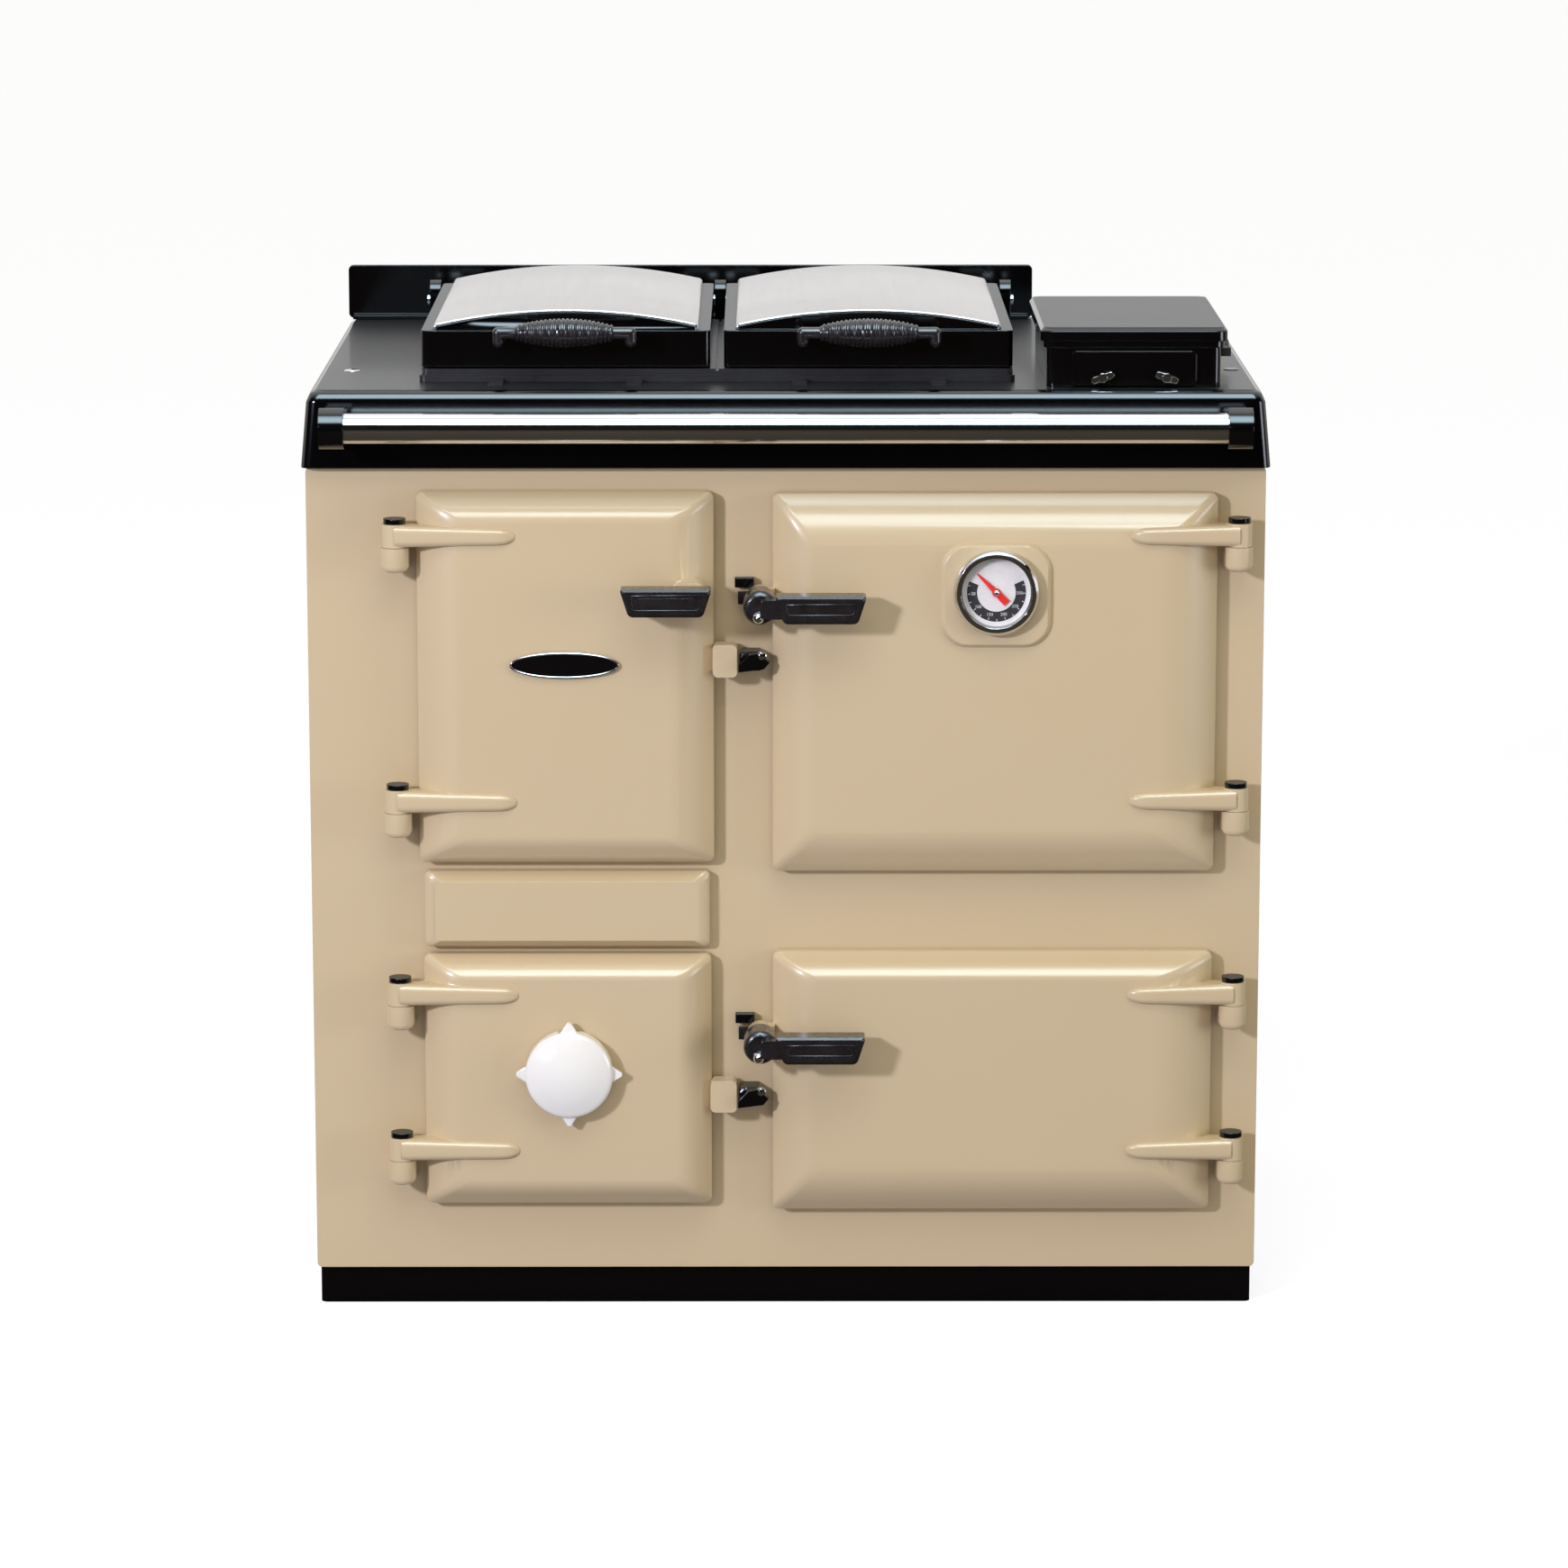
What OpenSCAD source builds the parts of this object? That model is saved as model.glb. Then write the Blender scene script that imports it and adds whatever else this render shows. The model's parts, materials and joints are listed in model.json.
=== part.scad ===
// Free-standing cast iron range cooker: fire on the left, two ovens on the right, a
// hotplate under two domed lids and a flue box on top.
// X runs right, Y runs to the back, Z runs up. The origin is on the floor, under the
// middle of the cooker. Inside place() the front plate's face lies at y = 0.

/* [Casing] */
// Width over the side panels
body_w = 898; // [880:1:930]
// Depth from the front plate's face to the back panel's rear face
body_d = 598; // [590:1:640]
// Height of the plinth
plinth_h = 39; // [25:1:70]
// How far the plinth stands back at the front
plinth_back = 15; // [5:1:40]
// Thickness of the cast front plate
front_t = 12; // [8:1:16]
// Thickness of the side and back panels
panel_t = 3; // [2:0.5:5]
// Width of the flanges that stiffen the side panels
panel_flange = 25; // [15:1:40]

/* [Doors] */
// Distance of the fire door from the casing's left side
left_in = 103.5; // [95:0.5:110]
// Distance of the oven doors from the casing's right side
right_in = 45.3; // [42:0.1:50]
// Gap between the fire door and the oven doors beside it
door_gap = 55.2; // [52:0.1:60]
// Width of the fire door
fire_w = 278; // [265:1:285]
// Height of the fire door
fire_h = 353; // [340:1:365]
// Width of the ashpit door
ash_w = 272; // [260:1:280]
// Height of the ashpit door
ash_h = 244; // [235:1:250]
// Width of the centre plate
centre_w = 269; // [255:1:280]
// Height of the centre plate
centre_h = 73; // [60:1:76]
// Height of the main oven door
main_h = 360; // [345:1:365]
// Height of the lower oven door
lower_h = 252; // [240:1:258]
// Height of the ashpit door's foot above the front plate's foot
ash_up = 67; // [60:1:75]
// Gap between the ashpit door and the centre plate
centre_gap = 6.5; // [5:0.5:10]
// Gap between the centre plate and the fire door
fire_gap = 9; // [6:0.5:12]
// Height of the lower oven door's foot above the front plate's foot
lower_up = 61; // [55:1:70]
// Gap between the two oven doors
oven_gap = 78; // [70:1:84]
// Height of the front plate left above the main oven door
over_main = 23; // [20:0.5:30]
// Least height of the front plate left above the fire door
over_fire = 21.5; // [18:0.5:28]
// How far a door laps over its opening
lap = 26; // [22:1:30]
// Thickness of a door's edge
door_edge = 15; // [11:1:20]
// How far an oven door's flat face stands out
oven_out = 40; // [36:1:44]
// How far a left door's flat face stands out
left_out = 38; // [34:1:42]
// Width of the bevel round an oven door
oven_bevel = 46; // [30:1:60]
// Width of the bevel round a left door
left_bevel = 30; // [20:1:45]
// Corner radius of the doors
door_r = 7; // [3:0.5:12]
// Wall of a door casting
door_wall = 9; // [7:0.5:12]
// How far an inner liner reaches into its opening
liner_in = 16; // [10:1:22]
// Diameter of the seal rope
rope_d = 8.7; // [7:0.1:10]

/* [Hinges] */
// Distance of a hinge pin from its door's edge
hinge_out = 19; // [17:0.5:24]
// Distance of the hinge pins in front of the front plate
pin_out = 28; // [24:0.5:32]
// Radius of the hinge pins
pin_r = 5; // [4:0.25:6]
// Radius of an arm's knuckle
knuckle_r = 12; // [10:0.5:13]
// Height of an arm at its knuckle
arm_h = 22; // [16:1:28]
// Length of a left door's arm from its pin
arm_len = 101; // [80:1:115]
// Length of an oven door's arm from its pin
oven_arm_len = 89; // [76:1:110]
// Height of a lug on the front plate
lug_h = 23; // [16:1:30]
// Distance of the oven doors' outer arms from the door's ends
arm_in = 37; // [28:1:50]

/* [Handles] */
// Length of a lever grip
lever_len = 98; // [80:1:110]
// Height of a lever grip
lever_h = 26; // [20:1:30]
// Radius of a lever's hub
hub_r = 16; // [14:0.5:18]
// Length of a lever's hub
hub_l = 34; // [26:1:38]
// Distance of a lever's hub beyond its door's edge
hub_beside = 11.5; // [8:0.5:14]
// Distance of the main oven's lever under its door's top edge
main_hub_down = 100; // [90:1:120]
// Distance of the lower oven's lever under its door's top edge
lower_hub_down = 81; // [70:1:100]
// How far the grips stand out from the front plate
grip_out = 84; // [78:1:92]
// Thickness of the grips
grip_t = 25; // [20:1:28]
// Width of the fire door's grip
grip_w = 84; // [70:1:100]
// Height of the fire door's grip
grip_h = 26; // [20:1:34]
// Distance of that grip from the door's opening edge
grip_end = 2; // [1:1:12]
// Distance of that grip's top under the door's top edge
grip_down = 82; // [70:1:110]
// Distance of the bare oval plate's middle under the door's top edge
oval_down = 160; // [150:1:180]

/* [Thermometer] */
// Outer radius of the thermometer's case
gauge_r = 40; // [34:0.5:44]
// Width of the boss that carries it
gauge_boss_w = 99; // [94:1:112]
// How far that boss stands out from the door's face
gauge_boss_t = 6; // [3:0.5:10]
// Distance of the gauge's middle under the main oven door's top edge
gauge_down = 88; // [80:1:100]

/* [Air wheel] */
// Radius of the air wheel's disc
wheel_r = 41.5; // [36:0.5:46]
// Length of the air wheel's rim
rim_l = 12; // [9:0.5:14]
// Length of the air wheel at its middle
wheel_l = 26; // [24:0.5:30]
// How far the stud reaches into the air wheel
stud_in = 20; // [18:0.5:22]
// Number of ears on the air wheel
wheel_ears = 4; // [3:1:6]
// Radius of the wheel over its ears
ear_r = 50; // [47:0.5:56]
// Radius of the threaded stud
stud_r = 6; // [5:0.25:8]
// Number of air holes behind the wheel
air_holes = 6; // [4:1:7]
// Radius of an air hole
air_hole_r = 7; // [5:0.5:8]
// Radius of the ring of air holes
air_ring_r = 25; // [22:0.5:28]

/* [Top plate] */
// Height of the top plate and its fascia
top_h = 72; // [60:1:80]
// How far the top plate's lip reaches behind the casing
top_over = 6; // [0:1:14]
// How far the fascia's foot stands out from the casing
fascia_out = 3.5; // [2:0.5:6]
// How much the fascia leans in towards its top
fascia_lean = 5; // [3:0.5:8]
// Thickness of the top plate
top_t = 9; // [6:1:14]
// Height of the splashback
splash_h = 54; // [40:1:90]
// Width of the splashback
splash_w = 702; // [640:1:704]

/* [Hotplate and lids] */
// Distance of the lids from the casing's left side
lid_side = 106; // [100:1:112]
// Gap between the two lids
lid_gap = 13; // [11:0.5:20]
// Depth of a lid
lid_d = 408; // [390:1:412]
// Distance of the lids behind the front plate's face
lid_back = 60; // [56:1:66]
// Height of a lid's corners above the top plate
lid_h = 54; // [50:1:60]
// Rise of the dome over its corners
dome_rise = 14; // [8:1:18]
// Thickness of the hotplate's flange
flange_t = 6.5; // [4:0.5:8]
// Height of the machined surface above the flange
machined_t = 6; // [4:0.5:7]
// Gap between the hotplate and a closed lid
lid_clear = 2; // [1:0.5:3]
// Radius of the lid hinge pins
lid_pin_r = 5; // [4:0.25:6]
// Height of the lid hinge pins above the top plate
lid_pin_up = 30; // [26:1:34]
// Distance of the lid hinge pins behind the lids
lid_pin_back = 16; // [14:1:20]
// Length of a lid's grip
lid_grip_l = 92; // [70:1:120]
// Radius of a lid's grip at its middle
lid_grip_r = 12.5; // [9:0.5:14]
// How far a grip's axis stands out from the lids
lid_grip_out = 32; // [26:1:40]

/* [Flue box] */
// Width of the flue box
flue_w = 163; // [140:1:168]
// Depth of the flue box
flue_d = 253; // [220:1:280]
// Distance of the flue box from the casing's right side
flue_side = 41.7; // [38:0.1:46]
// Gap between the lids and the flue box
flue_gap = 30.3; // [28:0.1:36]
// Distance of the flue box behind the front plate's face
flue_back = 20; // [14:1:40]
// Height of the flue box under its cover
flue_h = 43.5; // [38:0.5:60]
// Thickness of the cover
cover_t = 13; // [8:1:18]
// Wall of the flue box
flue_wall = 6; // [4:0.5:8]
// Inner radius of the flue collar at the back
collar_r = 76; // [62:1:80]
// Wall of the flue collar
collar_wall = 5; // [4:0.5:8]
// Length of the flue collar behind the back panel
collar_l = 26; // [20:1:45]
// Distance of the flue collar's middle under the top plate
collar_down = 123; // [110:1:150]

/* [Towel rail] */
// Diameter of the rail
rail_d = 28; // [22:1:30]
// Distance of the rail's ends from the casing's sides
rail_in = 41.5; // [38:0.5:60]
// Distance of the rail's axis in front of the front plate
rail_out = 65; // [60:1:72]
// Height of the rail's axis above the fascia's foot
rail_up = 44.5; // [40:0.5:50]
// Radius of a bracket's round end
bracket_r = 19; // [17:0.5:21]
// Width of a bracket
bracket_w = 23; // [18:1:26]

/* [Inside] */
// Depth of the oven boxes behind the front plate
oven_d = 520; // [480:1:530]
// Wall of the oven boxes and the firebox
box_t = 6; // [4:0.5:8]
// Number of runners on each side of the main oven
runners = 3; // [2:1:4]
// Number of cross bars in a shelf
shelf_bars = 15; // [9:1:19]
// Thickness of a firebrick
brick_t = 24; // [18:1:28]
// Height of the firebricks
brick_h = 210; // [160:1:240]
// Depth of the bottom grate's opening
grate_d = 274; // [240:1:290]
// Half the width of the bottom grate's opening
grate_half = 62; // [50:1:70]
// Depth of the fire door's throat
throat_d = 30; // [20:1:40]
// Number of bars in the bottom grate
grate_bars = 7; // [5:1:9]
// Depth of the boiler
boiler_d = 90; // [70:1:110]
// Height of the boiler
boiler_h = 300; // [270:1:310]
// Height of the boiler's lower tapped hole above the grate
tap_low = 70; // [50:1:90]
// Height of the boiler's upper tapped hole above the grate
tap_high = 250; // [200:1:260]
// Radius of the boiler's tapped holes
tapping_r = 15.15; // [10:0.05:17]
// Depth of the tapped holes
tapping_l = 22; // [16:1:30]
// Height of the ash pan
ash_pan_h = 90; // [60:1:110]

/* [Fits] */
// Gap between pieces that seat on each other
seat = 0.3; // [0.2:0.05:0.4]
// Running clearance round a pin
run = 0.06; // [0.03:0.01:0.1]
// Gap between an inner liner and its opening
liner_gap = 6; // [5:0.5:8]
// Gap round a shelf or pan on its runners
slide_gap = 2; // [1:0.5:3]

/* [Hidden] */
$fn = 48;

// Doors in their two columns, and the casing round them
left_mid = -body_w / 2 + left_in + fire_w / 2;
oven_w = body_w / 2 - right_in - (left_mid + fire_w / 2 + door_gap);
right_col = body_w / 2 - right_in - oven_w / 2;
centre_up = ash_up + ash_h + centre_gap;
fire_up = centre_up + centre_h + fire_gap;
main_up = lower_up + lower_h + oven_gap;
front_h = max(main_up + main_h + over_main, fire_up + fire_h + over_fire);

// Overall places
reach_front = max(grip_out, rail_out + bracket_r);
top_d = body_d + top_over;
reach_back = body_d + collar_l;
front_y = (reach_front - reach_back) / 2;
top_z = plinth_h + front_h;
hob_z = top_z + top_h;
rail_l = body_w - 2 * rail_in;

// Door edges, as [left, right, foot, top]
fire = [left_mid - fire_w / 2, left_mid + fire_w / 2,
        plinth_h + fire_up, plinth_h + fire_up + fire_h];
ash = [left_mid - ash_w / 2, left_mid + ash_w / 2,
       plinth_h + ash_up, plinth_h + ash_up + ash_h];
main = [right_col - oven_w / 2, right_col + oven_w / 2,
        plinth_h + main_up, plinth_h + main_up + main_h];
lower = [right_col - oven_w / 2, right_col + oven_w / 2,
         plinth_h + lower_up, plinth_h + lower_up + lower_h];
pin_left = fire[0] - hinge_out;
pin_right = main[1] + hinge_out;
fire_arms = [fire[2] + 62, fire[3] - 39];
ash_arms = [ash[2] + 58, ash[3] - 35];
main_arms = [main[2] + 72, main[3] - arm_in];
lower_arms = [lower[2] + 64, lower[3] - arm_in];
rope_in = 11;
catch_gap = 23;
tongue_l = 29;
tongue_out = 34;
nose_r = 8;
nose_sink = 4;
// Widths of each door's curved margins, as [left, right, foot, top]
fire_margins = [left_bevel + 14, left_bevel + 14, left_bevel, left_bevel - 2];
ash_margins = [left_bevel + 8, left_bevel + 4, left_bevel, left_bevel - 8];
main_margins = [oven_bevel - 4, oven_bevel + 12, oven_bevel + 1, oven_bevel + 6];
lower_margins = [oven_bevel - 4, oven_bevel + 12, oven_bevel + 4, oven_bevel - 22];
pillow_steps = 8;
pillow_power = 2.1;

// Lids and hotplate
lid_w = (body_w - lid_side - flue_gap - flue_w - flue_side - lid_gap) / 2;
lid_left = -body_w / 2 + lid_side;
lid_right = lid_left + lid_w + lid_gap;
lid_mid = lid_right - lid_gap / 2;
flue_col = body_w / 2 - flue_side - flue_w / 2;
lid_foot = flange_t + machined_t + lid_clear;
dome_in = 11;
dome_back = 6;
dome_t = 2;
dome_half = lid_w / 2 - dome_in;
dome_r = (pow(dome_half, 2) + pow(dome_rise, 2)) / (2 * dome_rise);
frame_t = 12;
frame_h = lid_h - 5.5;
ear_w = 24;
post_foot = 20;
catch_low = 179;
grate_rim = 14;
damper_arm = 34;
grip_stub = 16;
lid_pin_y = lid_back + lid_d + lid_pin_back;

// Inside places
fire_in = fire_w / 2 - lap;
oven_in = oven_w / 2 - lap;
box_y = front_t + seat;
grate_z = fire[2] - 8;
gauge_z = main[3] - gauge_down;
collar_z = top_z - collar_down;
wheel_x = left_mid + 1.7;
wheel_z = ash[2] + 135;
hub_x = main[0] - hub_beside;
main_hub_z = main[3] - main_hub_down;
lower_hub_z = lower[3] - lower_hub_down;

cream = [0.80, 0.72, 0.60];
black = [0.03, 0.03, 0.035];
chrome = [0.82, 0.82, 0.80];
iron = [0.30, 0.30, 0.31];
steel = [0.62, 0.62, 0.62];

// Helpers -----------------------------------------------------------------------

module place() {
    translate([0, front_y, 0]) children();
}

// A box given by its low and high limits on each axis
module block(x, y, z) {
    translate([x[0], y[0], z[0]])
        cube([x[1] - x[0], y[1] - y[0], z[1] - z[0]]);
}

// Cylinders along each axis, between two limits
module rod_x(x, y, z, r) {
    translate([x[0], y, z]) rotate([0, 90, 0]) cylinder(h = x[1] - x[0], r = r);
}

module rod_y(x, y, z, r) {
    translate([x, y[0], z]) rotate([-90, 0, 0]) cylinder(h = y[1] - y[0], r = r);
}

module rod_z(x, y, z, r) {
    translate([x, y, z[0]]) cylinder(h = z[1] - z[0], r = r);
}

// A rectangle with round corners
module round_rect(x, y, r) {
    union() {
        translate([x[0] + r, y[0]]) square([x[1] - x[0] - 2 * r, y[1] - y[0]]);
        translate([x[0], y[0] + r]) square([x[1] - x[0], y[1] - y[0] - 2 * r]);
        for (cx = [x[0] + r, x[1] - r], cy = [y[0] + r, y[1] - r])
            translate([cx, cy]) circle(r = r);
    }
}

// Stands a drawing in the X-Z plane up between two depths
module stand(y) {
    translate([0, y[1], 0]) rotate([90, 0, 0])
        linear_extrude(height = y[1] - y[0]) children();
}

// A plate with round corners in the X-Z plane
module slab(x, y, z, r) {
    stand(y) round_rect(x, z, r);
}

// A plate with round corners in the X-Y plane
module tray(x, y, z, r) {
    translate([0, 0, z[0]]) linear_extrude(height = z[1] - z[0]) round_rect(x, y, r);
}

// A closed ring of rope round a rectangle, its axis at depth y
module rope_ring(x, y, z, corner, r) {
    for (zz = z)
        rod_x([x[0] + corner, x[1] - corner], y, zz, r);
    for (xx = x)
        rod_z(xx, y, [z[0] + corner, z[1] - corner], r);
    for (k = [0:3]) {
        cx = (k == 0 || k == 3) ? x[1] - corner : x[0] + corner;
        cz = k < 2 ? z[1] - corner : z[0] + corner;
        translate([cx, y, cz]) rotate([90, 0, 0]) rotate([0, 0, 90 * k])
            rotate_extrude(angle = 90) translate([corner, 0]) circle(r = r);
    }
}

// Casing ------------------------------------------------------------------------

module plinth() {
    color(black) place() difference() {
        tray([-body_w / 2 + 2, body_w / 2 - 2], [plinth_back, body_d - 4],
             [0, plinth_h - seat], 6);
        // open underneath, with a rim to stand on
        block([-body_w / 2 + 22, body_w / 2 - 22], [plinth_back + 20, body_d - 24],
              [-1, plinth_h - 6]);
    }
}

// side is -1 on the left and 1 on the right
module side_panel(side) {
    outer = body_w / 2;
    flange = panel_flange;
    y0 = front_t + seat;
    y1 = body_d - panel_t - seat;
    place() translate([0, 0, plinth_h])
        linear_extrude(height = front_h - seat)
            polygon(facing(side, [
                [outer, y0], [outer, y1], [outer - flange, y1],
                [outer - flange, y1 - panel_t], [outer - panel_t, y1 - panel_t],
                [outer - panel_t, y0 + panel_t], [outer - flange, y0 + panel_t],
                [outer - flange, y0]
            ]));
}

// Mirrors a drawing in X when side is negative
module scale_x(side) {
    if (side < 0)
        mirror([1, 0, 0]) children();
    else
        children();
}

module left_side_panel() {
    color(cream) side_panel(-1);
}

module right_side_panel() {
    color(cream) side_panel(1);
}

module back_panel() {
    rib_up = 130;
    rib_pitch = 80;
    rib_h = 20;
    rib_in = 60;
    color(steel) place() difference() {
        union() {
            block([-body_w / 2, body_w / 2], [body_d - panel_t, body_d],
                  [plinth_h, top_z - seat]);
            // pressed stiffening ribs
            for (k = [0:3]) {
                z = plinth_h + rib_up + k * rib_pitch;
                slab([-body_w / 2 + rib_in, body_w / 2 - rib_in],
                     [body_d - 1, body_d + 4], [z, z + rib_h], 8);
            }
        }
        rod_y(right_col, [body_d - 10, body_d + 10], collar_z,
              collar_r + collar_wall + seat);
        for (z = boiler_taps())
            rod_y(left_mid, [body_d - 10, body_d + 10], z, tapping_r + 11);
    }
}

// Cast socket for the flue pipe, with its flange behind the back panel
module flue_collar() {
    color(iron) place() difference() {
        union() {
            rod_y(right_col, [body_d - panel_t - 8, body_d + collar_l], collar_z,
                  collar_r + collar_wall);
            rod_y(right_col, [body_d + seat, body_d + 6], collar_z, collar_r + 19);
            rod_y(right_col, [body_d + collar_l - 6, body_d + collar_l], collar_z,
                  collar_r + collar_wall + 3);
        }
        rod_y(right_col, [body_d - 40, body_d + collar_l + 1], collar_z, collar_r);
    }
}

function boiler_taps() = [grate_z + tap_low, grate_z + tap_high];

// One hinge lug under an arm at height z: a barrel with a foot on the front plate
module lug(x, z) {
    r = knuckle_r + 1;
    z1 = z - arm_h / 2 - seat;
    z0 = z1 - lug_h;
    difference() {
        union() {
            translate([x, -pin_out, z0]) rotate_extrude()
                polygon([[0, 0], [r - 5, 0], [r - 1.5, 2], [r, 5.5], [r, lug_h], [0, lug_h]]);
            block([x - r + 2, x + r - 2], [-pin_out, -seat], [z0 + 3, z1]);
            slab([x - r, x + r], [-5, -seat], [z0 - 2, z1 + 2], 5);
        }
        rod_z(x, -pin_out, [z0 - 1, z1 + 1], pin_r + run);
    }
}

module hinge_lugs() {
    color(cream) place() {
        for (z = concat(fire_arms, ash_arms))
            lug(pin_left, z);
        for (z = concat(main_arms, lower_arms))
            lug(pin_right, z);
    }
}

module opening(door) {
    slab([door[0] + lap, door[1] - lap], [-1, front_t + 1],
         [door[2] + lap, door[3] - lap], 4);
}

module front_plate() {
    color(cream) place() difference() {
        slab([-body_w / 2, body_w / 2], [0, front_t], [plinth_h, top_z - seat], 5);
        for (door = [fire, ash, main, lower])
            opening(door);
    }
}

module centre_plate() {
    x = [left_mid - centre_w / 2, left_mid + centre_w / 2];
    z = [plinth_h + centre_up, plinth_h + centre_up + centre_h];
    color(cream) place() hull() {
        slab(x, [-door_edge + 4, -seat], z, 5);
        slab([x[0] + 10, x[1] - 10], [-left_out + 14, -seat], [z[0] + 8, z[1] - 8], 5);
    }
}

// Top plate: a drafted shell with a rounded top edge
module top_plate() {
    half = body_w / 2 + fascia_out;
    back = top_d - 12;
    lean = fascia_lean;
    r = 10;
    color(black) place() difference() {
        hull() {
            tray([-half, half], [-12, back], [top_z, top_z + 2], r);
            tray([-half + lean, half - lean], [-12 + lean, back],
                 [hob_z - 12, hob_z - 11], r);
            tray([-half + lean + 3, half - lean - 3], [-9 + lean, back],
                 [hob_z - 5, hob_z - 4], r);
            tray([-half + lean + 9, half - lean - 9], [-3 + lean, back],
                 [hob_z - 1, hob_z], r);
        }
        // hollow under the plate
        block([-half + lean + 14, half - lean - 14], [front_t, back - 14],
              [top_z - 1, hob_z - top_t]);
        // hotplate opening
        block([hot_x()[0] + 24, hot_x()[1] - 24], [hot_y()[0] + 24, hot_y()[1] - 24],
              [top_z, hob_z + 1]);
        // way up into the flue box
        block([flue_x()[0] + 20, flue_x()[1] - 20], [flue_y()[0] + 20, flue_y()[1] - 20],
              [top_z, hob_z + 1]);
    }
}

function hot_x() = [lid_left - 2, lid_right + lid_w + 2];
function hot_y() = [lid_back - 2, lid_back + lid_d - 4];
function flue_x() = [flue_col - flue_w / 2, flue_col + flue_w / 2];
function flue_y() = [flue_back, flue_back + flue_d];

module splashback() {
    x0 = -body_w / 2 + 2;
    back = top_d - 13;
    z = hob_z + seat;
    color(black) place() {
        slab([x0, x0 + splash_w], [back - 7, back], [z, z + splash_h], 5);
        // foot that is screwed to the top plate
        block([x0 + 5, x0 + splash_w - 5], [back - 22, back - 6], [z, z + 4]);
    }
}

module hotplate() {
    x = hot_x();
    y = hot_y();
    z = hob_z + seat;
    lug_x = 65;
    rib_t = 6;
    rib_in = 60;
    ribs = 9;
    pitch = (x[1] - x[0] - 2 * rib_in - rib_t) / (ribs - 1);
    color(iron) place() difference() {
        union() {
            tray(x, y, [z, z + flange_t - seat], 6);
            tray([x[0] + 2, x[1] - 2], [y[0] + 2, y[1] - 2],
                 [z, hob_z + flange_t + machined_t], 6);
            // the part that hangs in the opening
            block([x[0] + 26, x[1] - 26], [y[0] + 26, y[1] - 26],
                  [hob_z - top_t, z + 1]);
            // heat ribs under the plate
            for (k = [0:ribs - 1])
                block([x[0] + rib_in + k * pitch, x[0] + rib_in + k * pitch + rib_t],
                      [y[0] + 40, y[1] - 40], [hob_z - top_t - 10, hob_z - top_t + 1]);
            // holding lugs along the front edge
            for (mid = [lid_left + lid_w / 2, lid_right + lid_w / 2], side = [-1, 1])
                block([mid + side * lug_x - 7, mid + side * lug_x + 7],
                      [y[0] - 34, y[0] + 4], [z, z + 3]);
        }
        // parting groove between the two cooking areas
        mid = (x[0] + x[1]) / 2;
        block([mid - 1.5, mid + 1.5], [y[0] - 1, y[1] + 1],
              [hob_z + flange_t + machined_t - 2, hob_z + 40]);
    }
}

// Lids --------------------------------------------------------------------------

// The arched outline of a lid's dome, from foot to its crown
module arch(x0, foot, inset) {
    side = dome_in + inset;
    crown = lid_h + dome_rise - inset;
    intersection() {
        translate([x0 + side, hob_z + foot])
            square([lid_w - 2 * side, crown - foot + 1]);
        translate([x0 + lid_w / 2, hob_z + lid_h + dome_rise - dome_r])
            circle(r = dome_r - inset, $fn = 360);
    }
}

// The dome stands on the frame, a little inside its edges
module lid_dome(x0) {
    y = [lid_back + dome_back, lid_back + lid_d - dome_back];
    foot = frame_h + seat;
    edge = 3;
    color(chrome) place() difference() {
        stand(y) arch(x0, foot, 0);
        stand([y[0] + edge, y[1] - dome_t]) arch(x0, foot - 1, dome_t);
        // front opening under the arched lip
        stand([y[0] - 1, y[0] + edge + 1]) arch(x0, foot - 1, 4);
    }
}

module lid_frame(x0) {
    y0 = lid_back + dome_back + 3 + seat;
    ears = [x0 + 6, x0 + lid_w - 6 - ear_w];
    pin_z = hob_z + lid_pin_up;
    color(black) place() difference() {
        union() {
            // arched front that fills the dome's open end
            stand([y0, y0 + 4]) arch(x0, frame_h - 2, dome_t + seat);
            // box with walls all round
            difference() {
                tray([x0, x0 + lid_w], [lid_back, lid_back + lid_d],
                     [hob_z + lid_foot, hob_z + frame_h], 6);
                block([x0 + frame_t, x0 + lid_w - frame_t],
                      [lid_back + frame_t, lid_back + lid_d - frame_t],
                      [hob_z, hob_z + lid_h]);
            }
            // hinge ears
            for (ear = ears) {
                block([ear, ear + ear_w], [lid_back + lid_d - frame_t, lid_pin_y],
                      [hob_z + lid_foot, hob_z + lid_foot + 7]);
                rod_x([ear, ear + ear_w], lid_pin_y, pin_z, 10);
                block([ear, ear + ear_w], [lid_pin_y - 10, lid_pin_y + 10],
                      [hob_z + lid_foot, pin_z]);
            }
        }
        for (ear = ears)
            rod_x([ear - 1, ear + ear_w + 1], lid_pin_y, pin_z, lid_pin_r + run);
    }
}

module lid_liner(x0) {
    z0 = hob_z + lid_foot;
    y0 = lid_back + frame_t + seat;
    y1 = lid_back + lid_d - frame_t - seat;
    x = [x0 + frame_t + seat, x0 + lid_w - frame_t - seat];
    color(steel) place() difference() {
        tray(x, [y0, y1], [z0, z0 + 30], 4);
        // dished face over the cooking area
        tray([x[0] + 8, x[1] - 8], [y0 + 8, y1 - 8], [z0 - 1, z0 + 4], 12);
    }
}

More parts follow.
